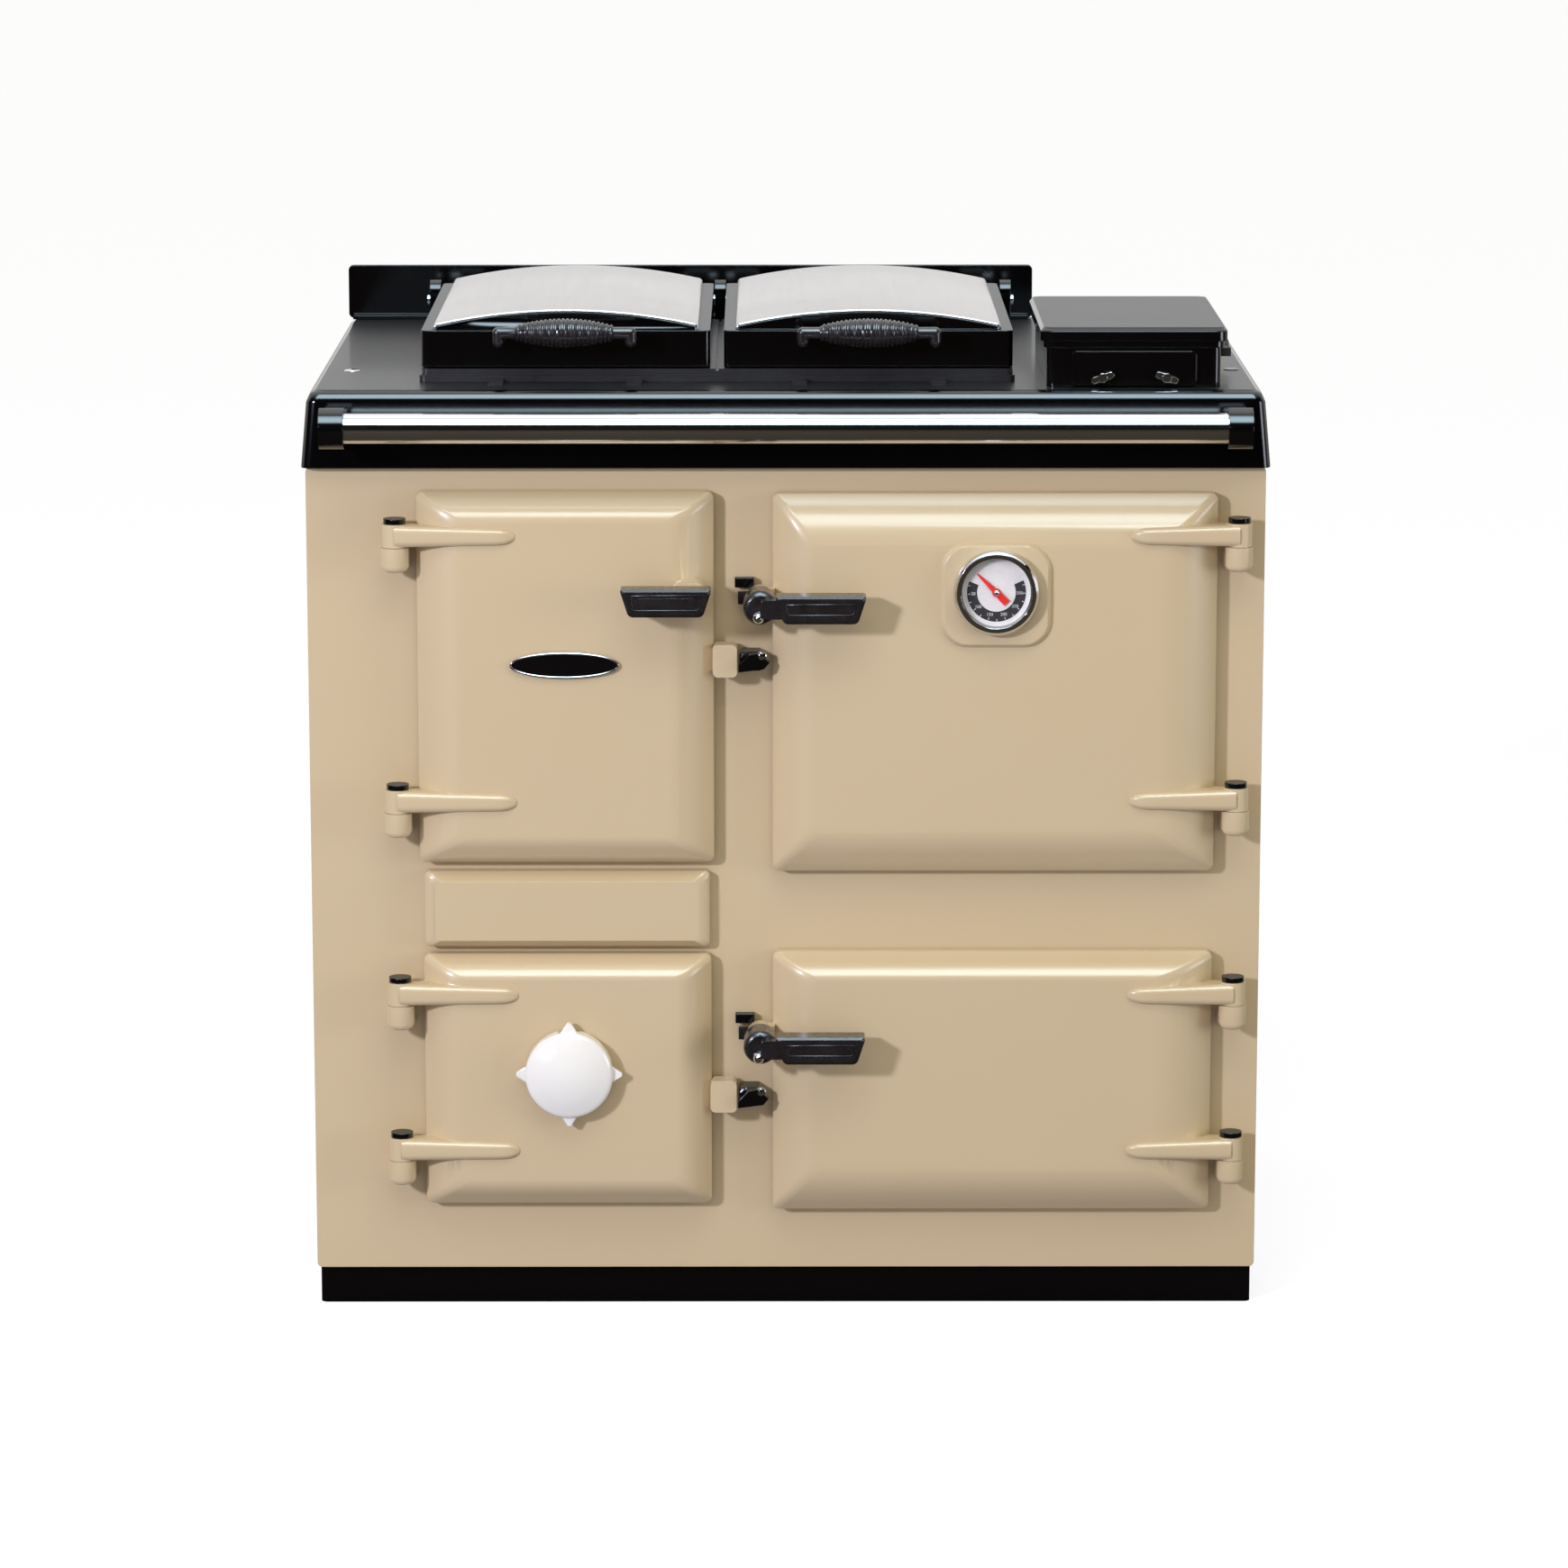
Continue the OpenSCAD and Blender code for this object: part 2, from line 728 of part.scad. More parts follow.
module lid_grip(x0) {
    mid = x0 + lid_w / 2;
    axis_y = lid_back - lid_grip_out;
    axis_z = hob_z + lid_h - 4;
    foot_z = hob_z + frame_h - 6.5;
    end_r = 5.5;
    half = lid_grip_l / 2;
    sag = lid_grip_r - 6;
    r = (pow(half, 2) + pow(sag, 2)) / (2 * sag);
    color(black) place() {
        translate([mid, axis_y, axis_z]) rotate([0, 90, 0])
            rotate_extrude() intersection() {
                translate([0, -half]) square([lid_grip_r, 2 * half]);
                translate([lid_grip_r - r, 0]) circle(r = r, $fn = 360);
            }
        // bent ends with their feet on the lid frame
        for (side = [-1, 1]) {
            foot = mid + side * (half + grip_stub);
            stub = [mid + side * (half - 1), foot];
            rod_x([min(stub), max(stub)], axis_y, axis_z, end_r);
            translate([foot, axis_y, axis_z]) sphere(r = end_r);
            rod_z(foot, axis_y, [foot_z, axis_z], end_r);
            translate([foot, axis_y, foot_z]) sphere(r = end_r);
            rod_y(foot, [axis_y, lid_back - seat], foot_z, end_r);
        }
    }
}

module left_lid_dome() {
    lid_dome(lid_left);
}

module left_lid_frame() {
    lid_frame(lid_left);
}

module left_lid_liner() {
    lid_liner(lid_left);
}

module left_lid_grip() {
    lid_grip(lid_left);
}

module right_lid_dome() {
    lid_dome(lid_right);
}

module right_lid_frame() {
    lid_frame(lid_right);
}

module right_lid_liner() {
    lid_liner(lid_right);
}

module right_lid_grip() {
    lid_grip(lid_right);
}

// Middles and widths of the three hinge posts
function post_x() = [lid_left - 9, lid_mid, lid_right + lid_w + 9];
post_w = 11;

module lid_hinge_posts() {
    color(steel) place() difference() {
        for (x = post_x()) {
            block([x - post_w / 2, x + post_w / 2], [lid_pin_y - 12, lid_pin_y + 12],
                  [hob_z + seat, hob_z + lid_pin_up + 8]);
            rod_x([x - post_w / 2, x + post_w / 2], lid_pin_y, hob_z + lid_pin_up + 8, 12);
            block([x - post_w / 2, x + post_w / 2], [lid_pin_y - post_foot, lid_pin_y + post_foot],
                  [hob_z + seat, hob_z + 6]);
        }
        for (x = post_x())
            rod_x([x - post_w, x + post_w], lid_pin_y, hob_z + lid_pin_up,
                  lid_pin_r + run);
    }
}

module lid_hinge_pins() {
    x = post_x();
    reach = ear_w + 14;
    color(chrome) place() {
        rod_x([x[0] - post_w / 2 - 3, x[0] + reach], lid_pin_y, hob_z + lid_pin_up,
              lid_pin_r);
        rod_x([x[1] - reach, x[1] + reach], lid_pin_y, hob_z + lid_pin_up, lid_pin_r);
        rod_x([x[2] - reach, x[2] + post_w / 2 + 3], lid_pin_y, hob_z + lid_pin_up,
              lid_pin_r);
    }
}

// Flue box ----------------------------------------------------------------------

module flue_box() {
    x = flue_x();
    y = flue_y();
    w = flue_wall;
    top = hob_z + flue_h - seat;
    color(black) place() difference() {
        union() {
            tray(x, y, [hob_z + seat, top], 8);
            // flange under the cover
            tray([x[0] - 3, x[1] + 3], [y[0] - 3, y[1] + 3], [top - 6, top], 10);
            // soot door on the front
            slab([flue_col - 58, flue_col + 58], [y[0] - 4, y[0] + 1],
                 [hob_z + 2, top - 9], 5);
        }
        tray([x[0] + w, x[1] - w], [y[0] + w, y[1] - w], [hob_z - 1, top + 1], 5);
        rod_x([x[1] - w - 1, x[1] + 10], flue_axis_y(), flue_axis_z(),
              damper_r + run);
    }
}

damper_r = 4;
function flue_axis_y() = flue_back + flue_d / 2;
function flue_axis_z() = hob_z + flue_h / 2;

module flue_box_cover() {
    x = [flue_x()[0] - 6, flue_x()[1] + 6];
    y = [flue_y()[0] - 5, flue_y()[1] + 8];
    z = hob_z + flue_h;
    color(black) place() hull() {
        tray(x, y, [z, z + cover_t - 4], 12);
        tray([x[0] + 3, x[1] - 3], [y[0] + 3, y[1] - 3], [z, z + cover_t], 10);
    }
}

nut_x = 30;
nut_up = 10;

module flue_box_wing_nuts() {
    y = flue_back - 4 - seat;
    color(chrome) place() for (side = [-1, 1]) {
        x = flue_col + side * nut_x;
        z = hob_z + nut_up;
        rod_y(x, [y - 9, y], z, 4.5);
        // the two wings
        translate([x, 0, z]) rotate([0, side * 18, 0])
            slab([-11, 11], [y - 7.5, y - 5], [-3.2, 3.2], 3);
    }
}

module flue_damper() {
    x = flue_x();
    w = flue_wall;
    y = flue_axis_y();
    z = flue_axis_z();
    flap = flue_h / 2 - 5;
    color(iron) place() {
        rod_x([x[0] + w + 4, x[1] + 12], y, z, damper_r);
        block([x[0] + w + 4, x[1] - w - 4], [y - flap, y + flap], [z - 2, z + 2]);
        // outer lever
        rod_x([x[1] + 8, x[1] + 16], y, z, 8);
        block([x[1] + 8, x[1] + 16], [y - damper_arm, y], [z - 4, z + 4]);
    }
}

// Towel rail --------------------------------------------------------------------

function rail_z() = top_z + rail_up;

module towel_rail() {
    half = rail_l / 2;
    color(chrome) place() difference() {
        rod_x([-half - 10, half + 10], -rail_out, rail_z(), rail_d / 2);
        rod_x([-half - 11, half + 11], -rail_out, rail_z(), rail_d / 2 - 1.5);
    }
}

// How far the fascia's face stands in front of the front plate at height z
function fascia_at(z) = 12 - fascia_lean * (z - top_z - 2) / (top_h - 14);

module towel_rail_brackets() {
    half = rail_l / 2;
    z = rail_z();
    pad = [z - 19, z + 13];
    color(black) place() for (side = [-1, 1])
        scale_x(side) difference() {
            union() {
                rod_x([half, half + bracket_w], -rail_out, z, bracket_r);
                // arm with a foot that follows the fascia's lean
                translate([half + 2, 0, 0]) rotate([90, 0, 90])
                    linear_extrude(height = bracket_w - 4)
                        polygon([
                            [-rail_out, z - 15], [-fascia_at(pad[0]) - seat, pad[0]],
                            [-fascia_at(pad[1]) - seat, pad[1]], [-rail_out, z + 15]
                        ]);
            }
            rod_x([half - 1, half + 10 + seat], -rail_out, z, rail_d / 2 + run);
        }
}

// Doors -------------------------------------------------------------------------

// A door casting: a slab whose margins curve back from its flat face. in = widths
// of those margins on the left, right, foot and top
module door_slab(door, out, in, r) {
    hull() {
        slab([door[0], door[1]], [-door_edge + 2, -3], [door[2], door[3]], r);
        for (k = [0:pillow_steps]) {
            u = k / pillow_steps;
            y = -door_edge - (out - door_edge) * (1 - pow(1 - u, pillow_power));
            slab([door[0] + 1 + (in[0] - 1) * u, door[1] - 1 - (in[1] - 1) * u],
                 [y, -4],
                 [door[2] + 1 + (in[2] - 1) * u, door[3] - 1 - (in[3] - 1) * u], r);
        }
    }
}

// The pocket behind the face, and the groove for the rope
module door_pocket(door, out, in) {
    w = door_wall;
    mouth = lap + liner_gap + seat;
    slab([door[0] + mouth, door[1] - mouth], [-door_edge + 2, 0],
         [door[2] + mouth, door[3] - mouth], 6);
    slab([door[0] + in[0] + w, door[1] - in[1] - w], [-out + w, 0],
         [door[2] + in[2] + w, door[3] - in[3] - w], 6);
}

module rope_groove(door) {
    x = [door[0] + rope_in, door[1] - rope_in];
    z = [door[2] + rope_in, door[3] - rope_in];
    half = rope_d / 2 + seat;
    difference() {
        slab([x[0] - half, x[1] + half], [-rope_d - 2 * seat, 0],
             [z[0] - half, z[1] + half], 12 + half);
        slab([x[0] + half, x[1] - half], [-rope_d - 2 * seat - 1, 1],
             [z[0] + half, z[1] - half], 12 - half);
    }
}

module door_rope(door) {
    color([0.75, 0.73, 0.68]) place()
        rope_ring([door[0] + rope_in, door[1] - rope_in], -rope_d / 2 - seat,
                  [door[2] + rope_in, door[3] - rope_in], 12, rope_d / 2);
}

// A hinge arm for a pin at x = 0: a round-nosed bar half sunk in the door's face, on
// a web. side is 1 where it reaches to the right over its door, and -1 to the left
module arm(side, reach, out, bevel) {
    y0 = -pin_out - 3;
    y1 = -out + nose_sink;
    root_r = arm_h / 2 - 1;
    bar = reach - nose_r;
    lean = side * atan2(y1 - y0, bar);
    len = norm([bar, y1 - y0]);
    translate([0, y0, 0]) rotate([0, side * 90, lean])
        cylinder(h = len, r1 = root_r, r2 = nose_r);
    translate([side * bar, y1, 0]) sphere(r = nose_r);
    back = -out + 4;
    intersection() {
        translate([0, 0, -arm_h / 2]) linear_extrude(height = arm_h)
            polygon(facing(side, [
                [0, y0 - 2], [bar, y1 - 1], [bar, back],
                [hinge_out + bevel, back], [hinge_out + 6, -12], [hinge_out + 3, -12],
                [0, -pin_out + 6]
            ]));
        stand([-out - 40, 0])
            polygon(facing(side, [
                [0, -root_r + 0.5], [bar, -nose_r + 0.5], [bar, nose_r - 0.5],
                [0, root_r - 0.5]
            ]));
    }
    rod_z(0, -pin_out, [-arm_h / 2, arm_h / 2], knuckle_r);
}

// Turns an outline to face left when side is -1
function facing(side, points) = [for (p = points) [side * p[0], p[1]]];

// The two arms of a door
module door_arms(pin_x, side, heights, reach, out, bevel) {
    for (z = heights)
        translate([pin_x, 0, z]) arm(side, reach, out, bevel);
}

module arm_bores(pin_x, heights) {
    for (z = heights)
        rod_z(pin_x, -pin_out, [z - arm_h, z + arm_h], pin_r + run);
}

module fire_door() {
    in = fire_margins;
    color(cream) place() difference() {
        union() {
            door_slab(fire, left_out, in, door_r);
            door_arms(pin_left, 1, fire_arms, arm_len, left_out, left_bevel);
            // boss behind the grip
            slab([grip_x()[1] - 36, grip_x()[1] - 6], [-grip_out + grip_t + seat, -30],
                 [grip_z()[0] + 1, grip_z()[1] + 3], 9);
            // catch lug at the opening side
            slab([fire[1] - 1, fire[1] + 22], [-28, -8],
                 [fire[2] + catch_low, fire[2] + catch_low + 31], 5);
        }
        door_pocket(fire, left_out, in);
        arm_bores(pin_left, fire_arms);
        rope_groove(fire);
        pocket_of_lug(fire[1], fire[2] + 179);
    }
}

// The notch behind a catch lug, where the catch nose rests
module pocket_of_lug(x, z) {
    block([x + 8, x + 23], [-22, -7], [z + 6, z + 25]);
}

function grip_x() = [fire[1] - grip_end - grip_w, fire[1] - grip_end];
function grip_z() = [fire[3] - grip_down - grip_h, fire[3] - grip_down];

module fire_door_grip() {
    color(black) place() grip(grip_x(), grip_z());
}

// A moulded grip with an outlined panel in its face
module grip(x, z) {
    cut = 6;
    difference() {
        hull() {
            stand([-grip_out + 3, -grip_out + grip_t]) grip_outline(x, z, cut);
            stand([-grip_out, -grip_out + grip_t - 3])
                grip_outline([x[0] + 3, x[1] - 3], [z[0] + 3, z[1] - 2], cut);
        }
        difference() {
            slab([x[0] + 13, x[1] - 13], [-grip_out - 1, -grip_out + 1],
                 [z[0] + 7, z[1] - 6], 3);
            slab([x[0] + 15, x[1] - 15], [-grip_out - 2, -grip_out + 2],
                 [z[0] + 9, z[1] - 8], 2);
        }
    }
}

// A grip's outline: square above, drawn in and rounded below
module grip_outline(x, z, cut) {
    hull() {
        for (xx = [x[0] + 2, x[1] - 2])
            translate([xx, z[1] - 2]) circle(r = 2, $fn = 16);
        for (xx = [x[0] + 2 * cut, x[1] - 2 * cut])
            translate([xx, z[0] + cut]) circle(r = cut, $fn = 32);
    }
}

module fire_door_liner() {
    door_liner(fire, left_out, fire_margins);
}

// A pan that fills the door's mouth and plugs the opening behind it
module door_liner(door, out, in) {
    edge = lap + liner_gap;
    w = door_wall;
    color(steel) place() difference() {
        union() {
            slab([door[0] + edge + seat * 2, door[1] - edge - seat * 2],
                 [-door_edge + 2 + seat, liner_in],
                 [door[2] + edge + seat * 2, door[3] - edge - seat * 2], 5);
            slab([door[0] + in[0] + w + seat, door[1] - in[1] - w - seat],
                 [-out + w + seat, 0],
                 [door[2] + in[2] + w + seat, door[3] - in[3] - w - seat], 5);
        }
        // shallow panel on the hot side
        slab([door[0] + edge + 18, door[1] - edge - 18], [liner_in - 2, liner_in + 1],
             [door[2] + edge + 18, door[3] - edge - 18], 8);
    }
}

module fire_door_rope() {
    door_rope(fire);
}

// Bare oval plate below the grip
module fire_door_plate() {
    half_w = 51;
    half_h = 12.3;
    steps = 60;
    color(black) place()
        translate([left_mid - 0.5, 0, fire[3] - oval_down])
            stand([-left_out - seat - 3, -left_out - seat])
                polygon([for (k = [0:steps - 1])
                    [half_w * cos(360 * k / steps), half_h * sin(360 * k / steps)]]);
}

module ashpit_door() {
    in = ash_margins;
    color(cream) place() difference() {
        union() {
            door_slab(ash, left_out, in, door_r);
            door_arms(pin_left, 1, ash_arms, arm_len, left_out, left_bevel);
            // seat of the air wheel
            rod_y(wheel_x, [-left_out - 3, -left_out + 2], wheel_z, wheel_r - 2);
            slab([ash[1] - 1, ash[1] + 24], [-28, -8], [ash[2] + 92, ash[2] + 123], 5);
        }
        door_pocket(ash, left_out, in);
        arm_bores(pin_left, ash_arms);
        rope_groove(ash);
        pocket_of_lug(ash[1] + 2, ash[2] + 92);
        rod_y(wheel_x, [-left_out - 10, 0], wheel_z, stud_r + seat);
        for (k = [0:air_holes - 1])
            rod_y(wheel_x + air_ring_r * cos(360 * k / air_holes),
                  [-left_out - 10, 0],
                  wheel_z + air_ring_r * sin(360 * k / air_holes), air_hole_r);
    }
}

module ashpit_door_rope() {
    door_rope(ash);
}

// The stud runs out from a flange behind the door's face
module air_wheel_stud() {
    wall = -left_out + door_wall;
    color(steel) place() {
        rod_y(wheel_x, [-left_out - 3 - stud_in, wall + 1], wheel_z, stud_r);
        rod_y(wheel_x, [wall + seat, wall + 5], wheel_z, stud_r + 6);
    }
}

module air_wheel_washer() {
    y = -left_out - 3;
    color([0.75, 0.6, 0.3]) place() difference() {
        rod_y(wheel_x, [y - 3, y - seat], wheel_z, stud_r + 5);
        rod_y(wheel_x, [y - 4, y + 1], wheel_z, stud_r + run);
    }
}

module air_wheel() {
    y = -left_out - 3;
    color([0.93, 0.92, 0.90]) place() translate([wheel_x, 0, wheel_z]) difference() {
        union() {
            // domed disc, turned, hollow towards the air holes
            rotate([90, 0, 0]) rotate_extrude() polygon([
                [0, -y + 3 + seat], [stud_r + 8, -y + 3 + seat],
                [stud_r + 8, -y + seat * 3], [air_ring_r + 9, -y + seat * 3],
                [wheel_r, -y + seat], [wheel_r, -y + rim_l], [wheel_r - 1.5, -y + rim_l + 3],
                [wheel_r - 5, -y + rim_l + 5], [wheel_r * 0.6, -y + wheel_l - 4],
                [wheel_r * 0.3, -y + wheel_l - 1], [0, -y + wheel_l]
            ]);
            // pointed ears on the rim
            for (k = [0:wheel_ears - 1])
                rotate([0, 360 * k / wheel_ears, 0])
                    stand([y - rim_l + 2, y - 4])
                        polygon([[wheel_r - 3, -9], [ear_r, -1.5], [ear_r, 1.5],
                                 [wheel_r - 3, 9]]);
        }
        // blind bore that hides the end of the stud
        rod_y(0, [y - stud_in - 2, 0], 0, stud_r + run);
    }
}

module oven_door_casting(door, heights, in, hub_z) {
    difference() {
        union() {
            door_slab(door, oven_out, in, door_r);
            door_arms(pin_right, -1, heights, oven_arm_len, oven_out, oven_bevel);
            // boss that carries the lever's spindle
            rod_y(hub_x, [-oven_out + 4, -9], hub_z, hub_r - 3);
            block([hub_x, door[0] + 2], [-oven_out + 14, -9], [hub_z - 11, hub_z + 11]);
            children();
        }
        door_pocket(door, oven_out, in);
        arm_bores(pin_right, heights);
        rope_groove(door);
        rod_y(hub_x, [-oven_out, 0], hub_z, 6 + run);
    }
}

module main_oven_door() {
    half = gauge_boss_w / 2;
    x = [right_col - half, right_col + half];
    z = [gauge_z - half - 2, gauge_z + half - 6];
    front = -oven_out - gauge_boss_t;
    color(cream) place()
        oven_door_casting(main, main_arms, main_margins, main_hub_z)
            hull() {
                slab([x[0] - 2, x[1] + 2], [-oven_out, -oven_out + 4],
                     [z[0] - 2, z[1] + 2], 26);
                slab(x, [front + 1.2, -oven_out + 4], z, 25);
                slab([x[0] + 1.5, x[1] - 1.5], [front, -oven_out + 4],
                     [z[0] + 1.5, z[1] - 1.5], 24);
            }
}

module main_oven_door_liner() {
    door_liner(main, oven_out, main_margins);
}

module main_oven_door_rope() {
    door_rope(main);
}

module lower_oven_door() {
    color(cream) place()
        oven_door_casting(lower, lower_arms, lower_margins, lower_hub_z);
}

module lower_oven_door_liner() {
    door_liner(lower, oven_out, lower_margins);
}

module lower_oven_door_rope() {
    door_rope(lower);
}

// A lever: spindle with its cam, hub, neck and grip, turning about the hub's middle
module lever(z) {
    x = hub_x;
    face = -oven_out + 4 - seat;
    neck = -grip_out + grip_t - 8;
    color(black) place() {
        rod_y(x, [-9 + seat, -4], z, 9);
        block([x - 21, x], [-9 + seat, -4], [z - 6, z + 6]);
        rod_y(x, [face - 2, -4], z, 6);
        translate([x, face, z]) rotate([90, 0, 0]) rotate_extrude()
            polygon([[0, 0], [hub_r, 0], [hub_r, hub_l - 5], [hub_r - 1.5, hub_l - 2],
                     [hub_r - 5, hub_l], [0, hub_l]]);
        slab([x, x + 24], [neck - 11, neck], [z - 9, z + 9], 5);
        grip([x + 14, x + lever_len], [z - lever_h / 2, z + lever_h / 2]);
    }
}

module main_oven_lever() {
    lever(main_hub_z);
}

module lower_oven_lever() {
    lever(lower_hub_z);
}

// Thermometer -------------------------------------------------------------------

gauge_y = -oven_out - gauge_boss_t - seat;

module gauge_case() {
    r = gauge_r;
    color(chrome) place() translate([right_col, gauge_y, gauge_z]) rotate([90, 0, 0])
        rotate_extrude() polygon([
            [0, 0], [r - 2, 0], [r, 2], [r, 9], [r - 3, 13], [r - 7, 13], [r - 7, 3],
            [0, 3]
        ]);
}

module gauge_dial() {
    color([0.95, 0.95, 0.93]) place() difference() {
        rod_y(right_col, [gauge_y - 4.5, gauge_y - 3 - seat], gauge_z, gauge_r - 8);
        rod_y(right_col, [gauge_y - 6, gauge_y - 2], gauge_z, 2.5);
    }
}

// The pointer's thin end points up and to the left
module gauge_pointer() {
    y = gauge_y - 4.5 - seat;
    color([0.75, 0.05, 0.05]) place() translate([right_col, 0, gauge_z]) {
        rotate([0, 45, 0]) stand([y - 1.2, y])
            polygon([[-25, -0.7], [-4, -2.4], [8, -3.4], [14, -3.4], [14, 3.4],
                     [8, 3.4], [-4, 2.4], [-25, 0.7]]);
        rod_y(0, [y - 2, y], 0, 4);
        rod_y(0, [y, gauge_y - 3 - seat], 0, 2);
    }
}

module gauge_glass() {
    color([0.8, 0.9, 0.95, 0.3]) place()
        rod_y(right_col, [gauge_y - 11, gauge_y - 9], gauge_z, gauge_r - 7 - seat);
}

// Pins and catches --------------------------------------------------------------

module hinge_pin(x, z) {
    top = z + arm_h / 2;
    foot = z - arm_h / 2 - seat - lug_h;
    rod_z(x, -pin_out, [foot, top + 3], pin_r);
    rod_z(x, -pin_out, [top + seat, top + 5], pin_r + 5.5);
}

module door_hinge_pins() {
    color(black) place() {
        for (z = concat(fire_arms, ash_arms))
            hinge_pin(pin_left, z);
        for (z = concat(main_arms, lower_arms))
            hinge_pin(pin_right, z);
    }
}

module door_catches() {
    color(black) place() {
        // noses beside the left doors
        for (nose = [[fire[1], fire[2] + 191], [ash[1] + 2, ash[2] + 104]]) {
            slab([nose[0] + catch_gap + 1, nose[0] + catch_gap + tongue_l - 6],
                 [-tongue_out + 10, -seat], [nose[1] - 6, nose[1] + 12], 4);
            // the pointed tongue that lies over its foot
            translate([nose[0] + catch_gap, 0, nose[1]])
                stand([-tongue_out, -tongue_out + 11])
                    polygon([[0, -6], [tongue_l - 5, -3], [tongue_l, 3],
                             [tongue_l - 9, 12], [tongue_l - 19, 11], [0, 1]]);
        }
        // keepers over the levers' cams
        for (z = [main_hub_z, lower_hub_z])
            block([hub_x - 24, hub_x - 6], [-9, -seat], [z + 10, z + 19]);
    }
}

// Inside ------------------------------------------------------------------------

// An open-fronted cast box behind a door's opening
module oven_box(door) {
    x = [door[0] + lap - 0.5, door[1] - lap + 0.5];
    z = [door[2] + lap - 0.5, door[3] - lap + 0.5];
    y = [box_y, box_y + oven_d];
    difference() {
        union() {
            slab([x[0] - box_t, x[1] + box_t], y, [z[0] - box_t, z[1] + box_t], 6);
            // mounting flange behind the front plate
            slab([x[0] - 18, x[1] + 18], [box_y, box_y + 6], [z[0] - 14, z[1] + 14], 6);
        }
        slab(x, [y[0] - 1, y[1] - box_t], z, 4);
    }
}

runner_w = 9;

module main_oven_box() {
    x = [main[0] + lap - 0.5, main[1] - lap + 0.5];
    color(iron) place() {
        oven_box(main);
        for (k = [0:runners - 1], side = [0, 1])
            runner(x, side, runner_z(k));
    }
}

// Height of the top of runner k in the main oven
function runner_z(k) = main[2] + lap + 70 + k * 70;

module runner(x, side, z) {
    y = [box_y + 20, box_y + oven_d - 20];
    if (side == 0)
        block([x[0] - 1, x[0] + runner_w], y, [z - 6, z]);
    else
        block([x[1] - runner_w, x[1] + 1], y, [z - 6, z]);
}

module main_oven_shelf() {
    shelf(runner_z(1));
}

// A rod shelf lying on its runners at height z
module shelf(z) {
    x = [right_col - oven_in + slide_gap + 4, right_col + oven_in - slide_gap - 4];
    y = [box_y + 40, box_y + oven_d - box_t - 10];
    r = 4;
    bar_r = 2.5;
    zc = z + seat + r;
    color(steel) place() {
        for (xx = [x[0], x[1]])
            rod_y(xx, y, zc, r);
        for (yy = [y[0], y[1]])
            rod_x([x[0] - r, x[1] + r], yy, zc, r);
        for (k = [1:shelf_bars]) {
            xx = x[0] + (x[1] - x[0]) * k / (shelf_bars + 1);
            rod_y(xx, [y[0], y[1]], zc + 1.2, bar_r);
        }
        rod_x([x[0], x[1]], (y[0] + y[1]) / 2, zc - 0.8, bar_r);
    }
}

lower_runner_z = lower[2] + lap + 78;

module lower_oven_box() {
    x = [lower[0] + lap - 0.5, lower[1] - lap + 0.5];
    color(iron) place() {
        oven_box(lower);
        for (side = [0, 1])
            runner(x, side, lower_runner_z);
    }
}

module lower_oven_shelf() {
    shelf(lower_runner_z);
}

fire_x = [left_mid - fire_in - 0.5, left_mid + fire_in + 0.5];
ash_floor = ash[2] + lap - 0.5;
fire_top = top_z - 22;
grate_x = [left_mid - grate_half, left_mid + grate_half];
grate_front = box_y + throat_d + brick_t + 2;
grate_y = [grate_front, grate_front + grate_d];

// Cast shell round the fire and the ashpit, with the grate's seat between them
module firebox() {
    y = [box_y, box_y + oven_d];
    t = box_t;
    way_out = 50;
    color(iron) place() difference() {
        union() {
            slab([fire_x[0] - t, fire_x[1] + t], y, [ash_floor - t, fire_top], 4);
            slab([fire_x[0] - 16, fire_x[1] + 16], [y[0], y[0] + 6],
                 [ash_floor - 16, fire_top], 4);
        }
        // ashpit
        block(fire_x, [y[0] - 1, y[1] - t], [ash_floor, grate_z - 22]);
        // fire space over the grate's seat
        block(fire_x, [y[0] + throat_d, y[1] - t], [grate_z, fire_top - t]);
        // throat behind the fire door
        block(fire_x, [y[0] - 1, y[0] + throat_d + 1],
              [fire[2] + lap - 0.5, fire[3] - lap + 0.5]);
        // seat and hole for the grate
        block([grate_x[0] - 8, grate_x[1] + 8], [grate_y[0] - 8, grate_y[1] + 26],
              [grate_z - 12, grate_z + 1]);
        block(grate_x, grate_y, [grate_z - 30, grate_z]);
        // flames leave through the top
        block([fire_x[0] + 30, fire_x[1] - 10],
              [y[0] + way_out, y[1] - boiler_d - 30], [fire_top - 20, fire_top + 1]);
        // ways through the back for the tappings
        for (z = boiler_taps())
            rod_y(left_mid, [y[1] - 20, y[1] + 1], z, tapping_r + 8);
    }
}

module firebricks() {
    z = [grate_z + seat, grate_z + brick_h];
    y = [box_y + throat_d + seat, box_y + oven_d - box_t - boiler_d - 2 * seat - 8];
    t = brick_t;
    color([0.72, 0.6, 0.45]) place() {
        for (side = [-1, 1], k = [0, 1]) {
            len = (y[1] - y[0] - t - seat) / 2;
            y0 = y[0] + t + seat + k * len;
            x0 = left_mid + side * (fire_in + 0.5 - seat) - (side > 0 ? t : 0);
            block([x0, x0 + t], [y0, y0 + len - seat], z);
        }
        // front brick below the fuel door
        block([fire_x[0] + seat, fire_x[1] - seat], [y[0], y[0] + t],
              [z[0], fire[2] + lap - 1]);
    }
}

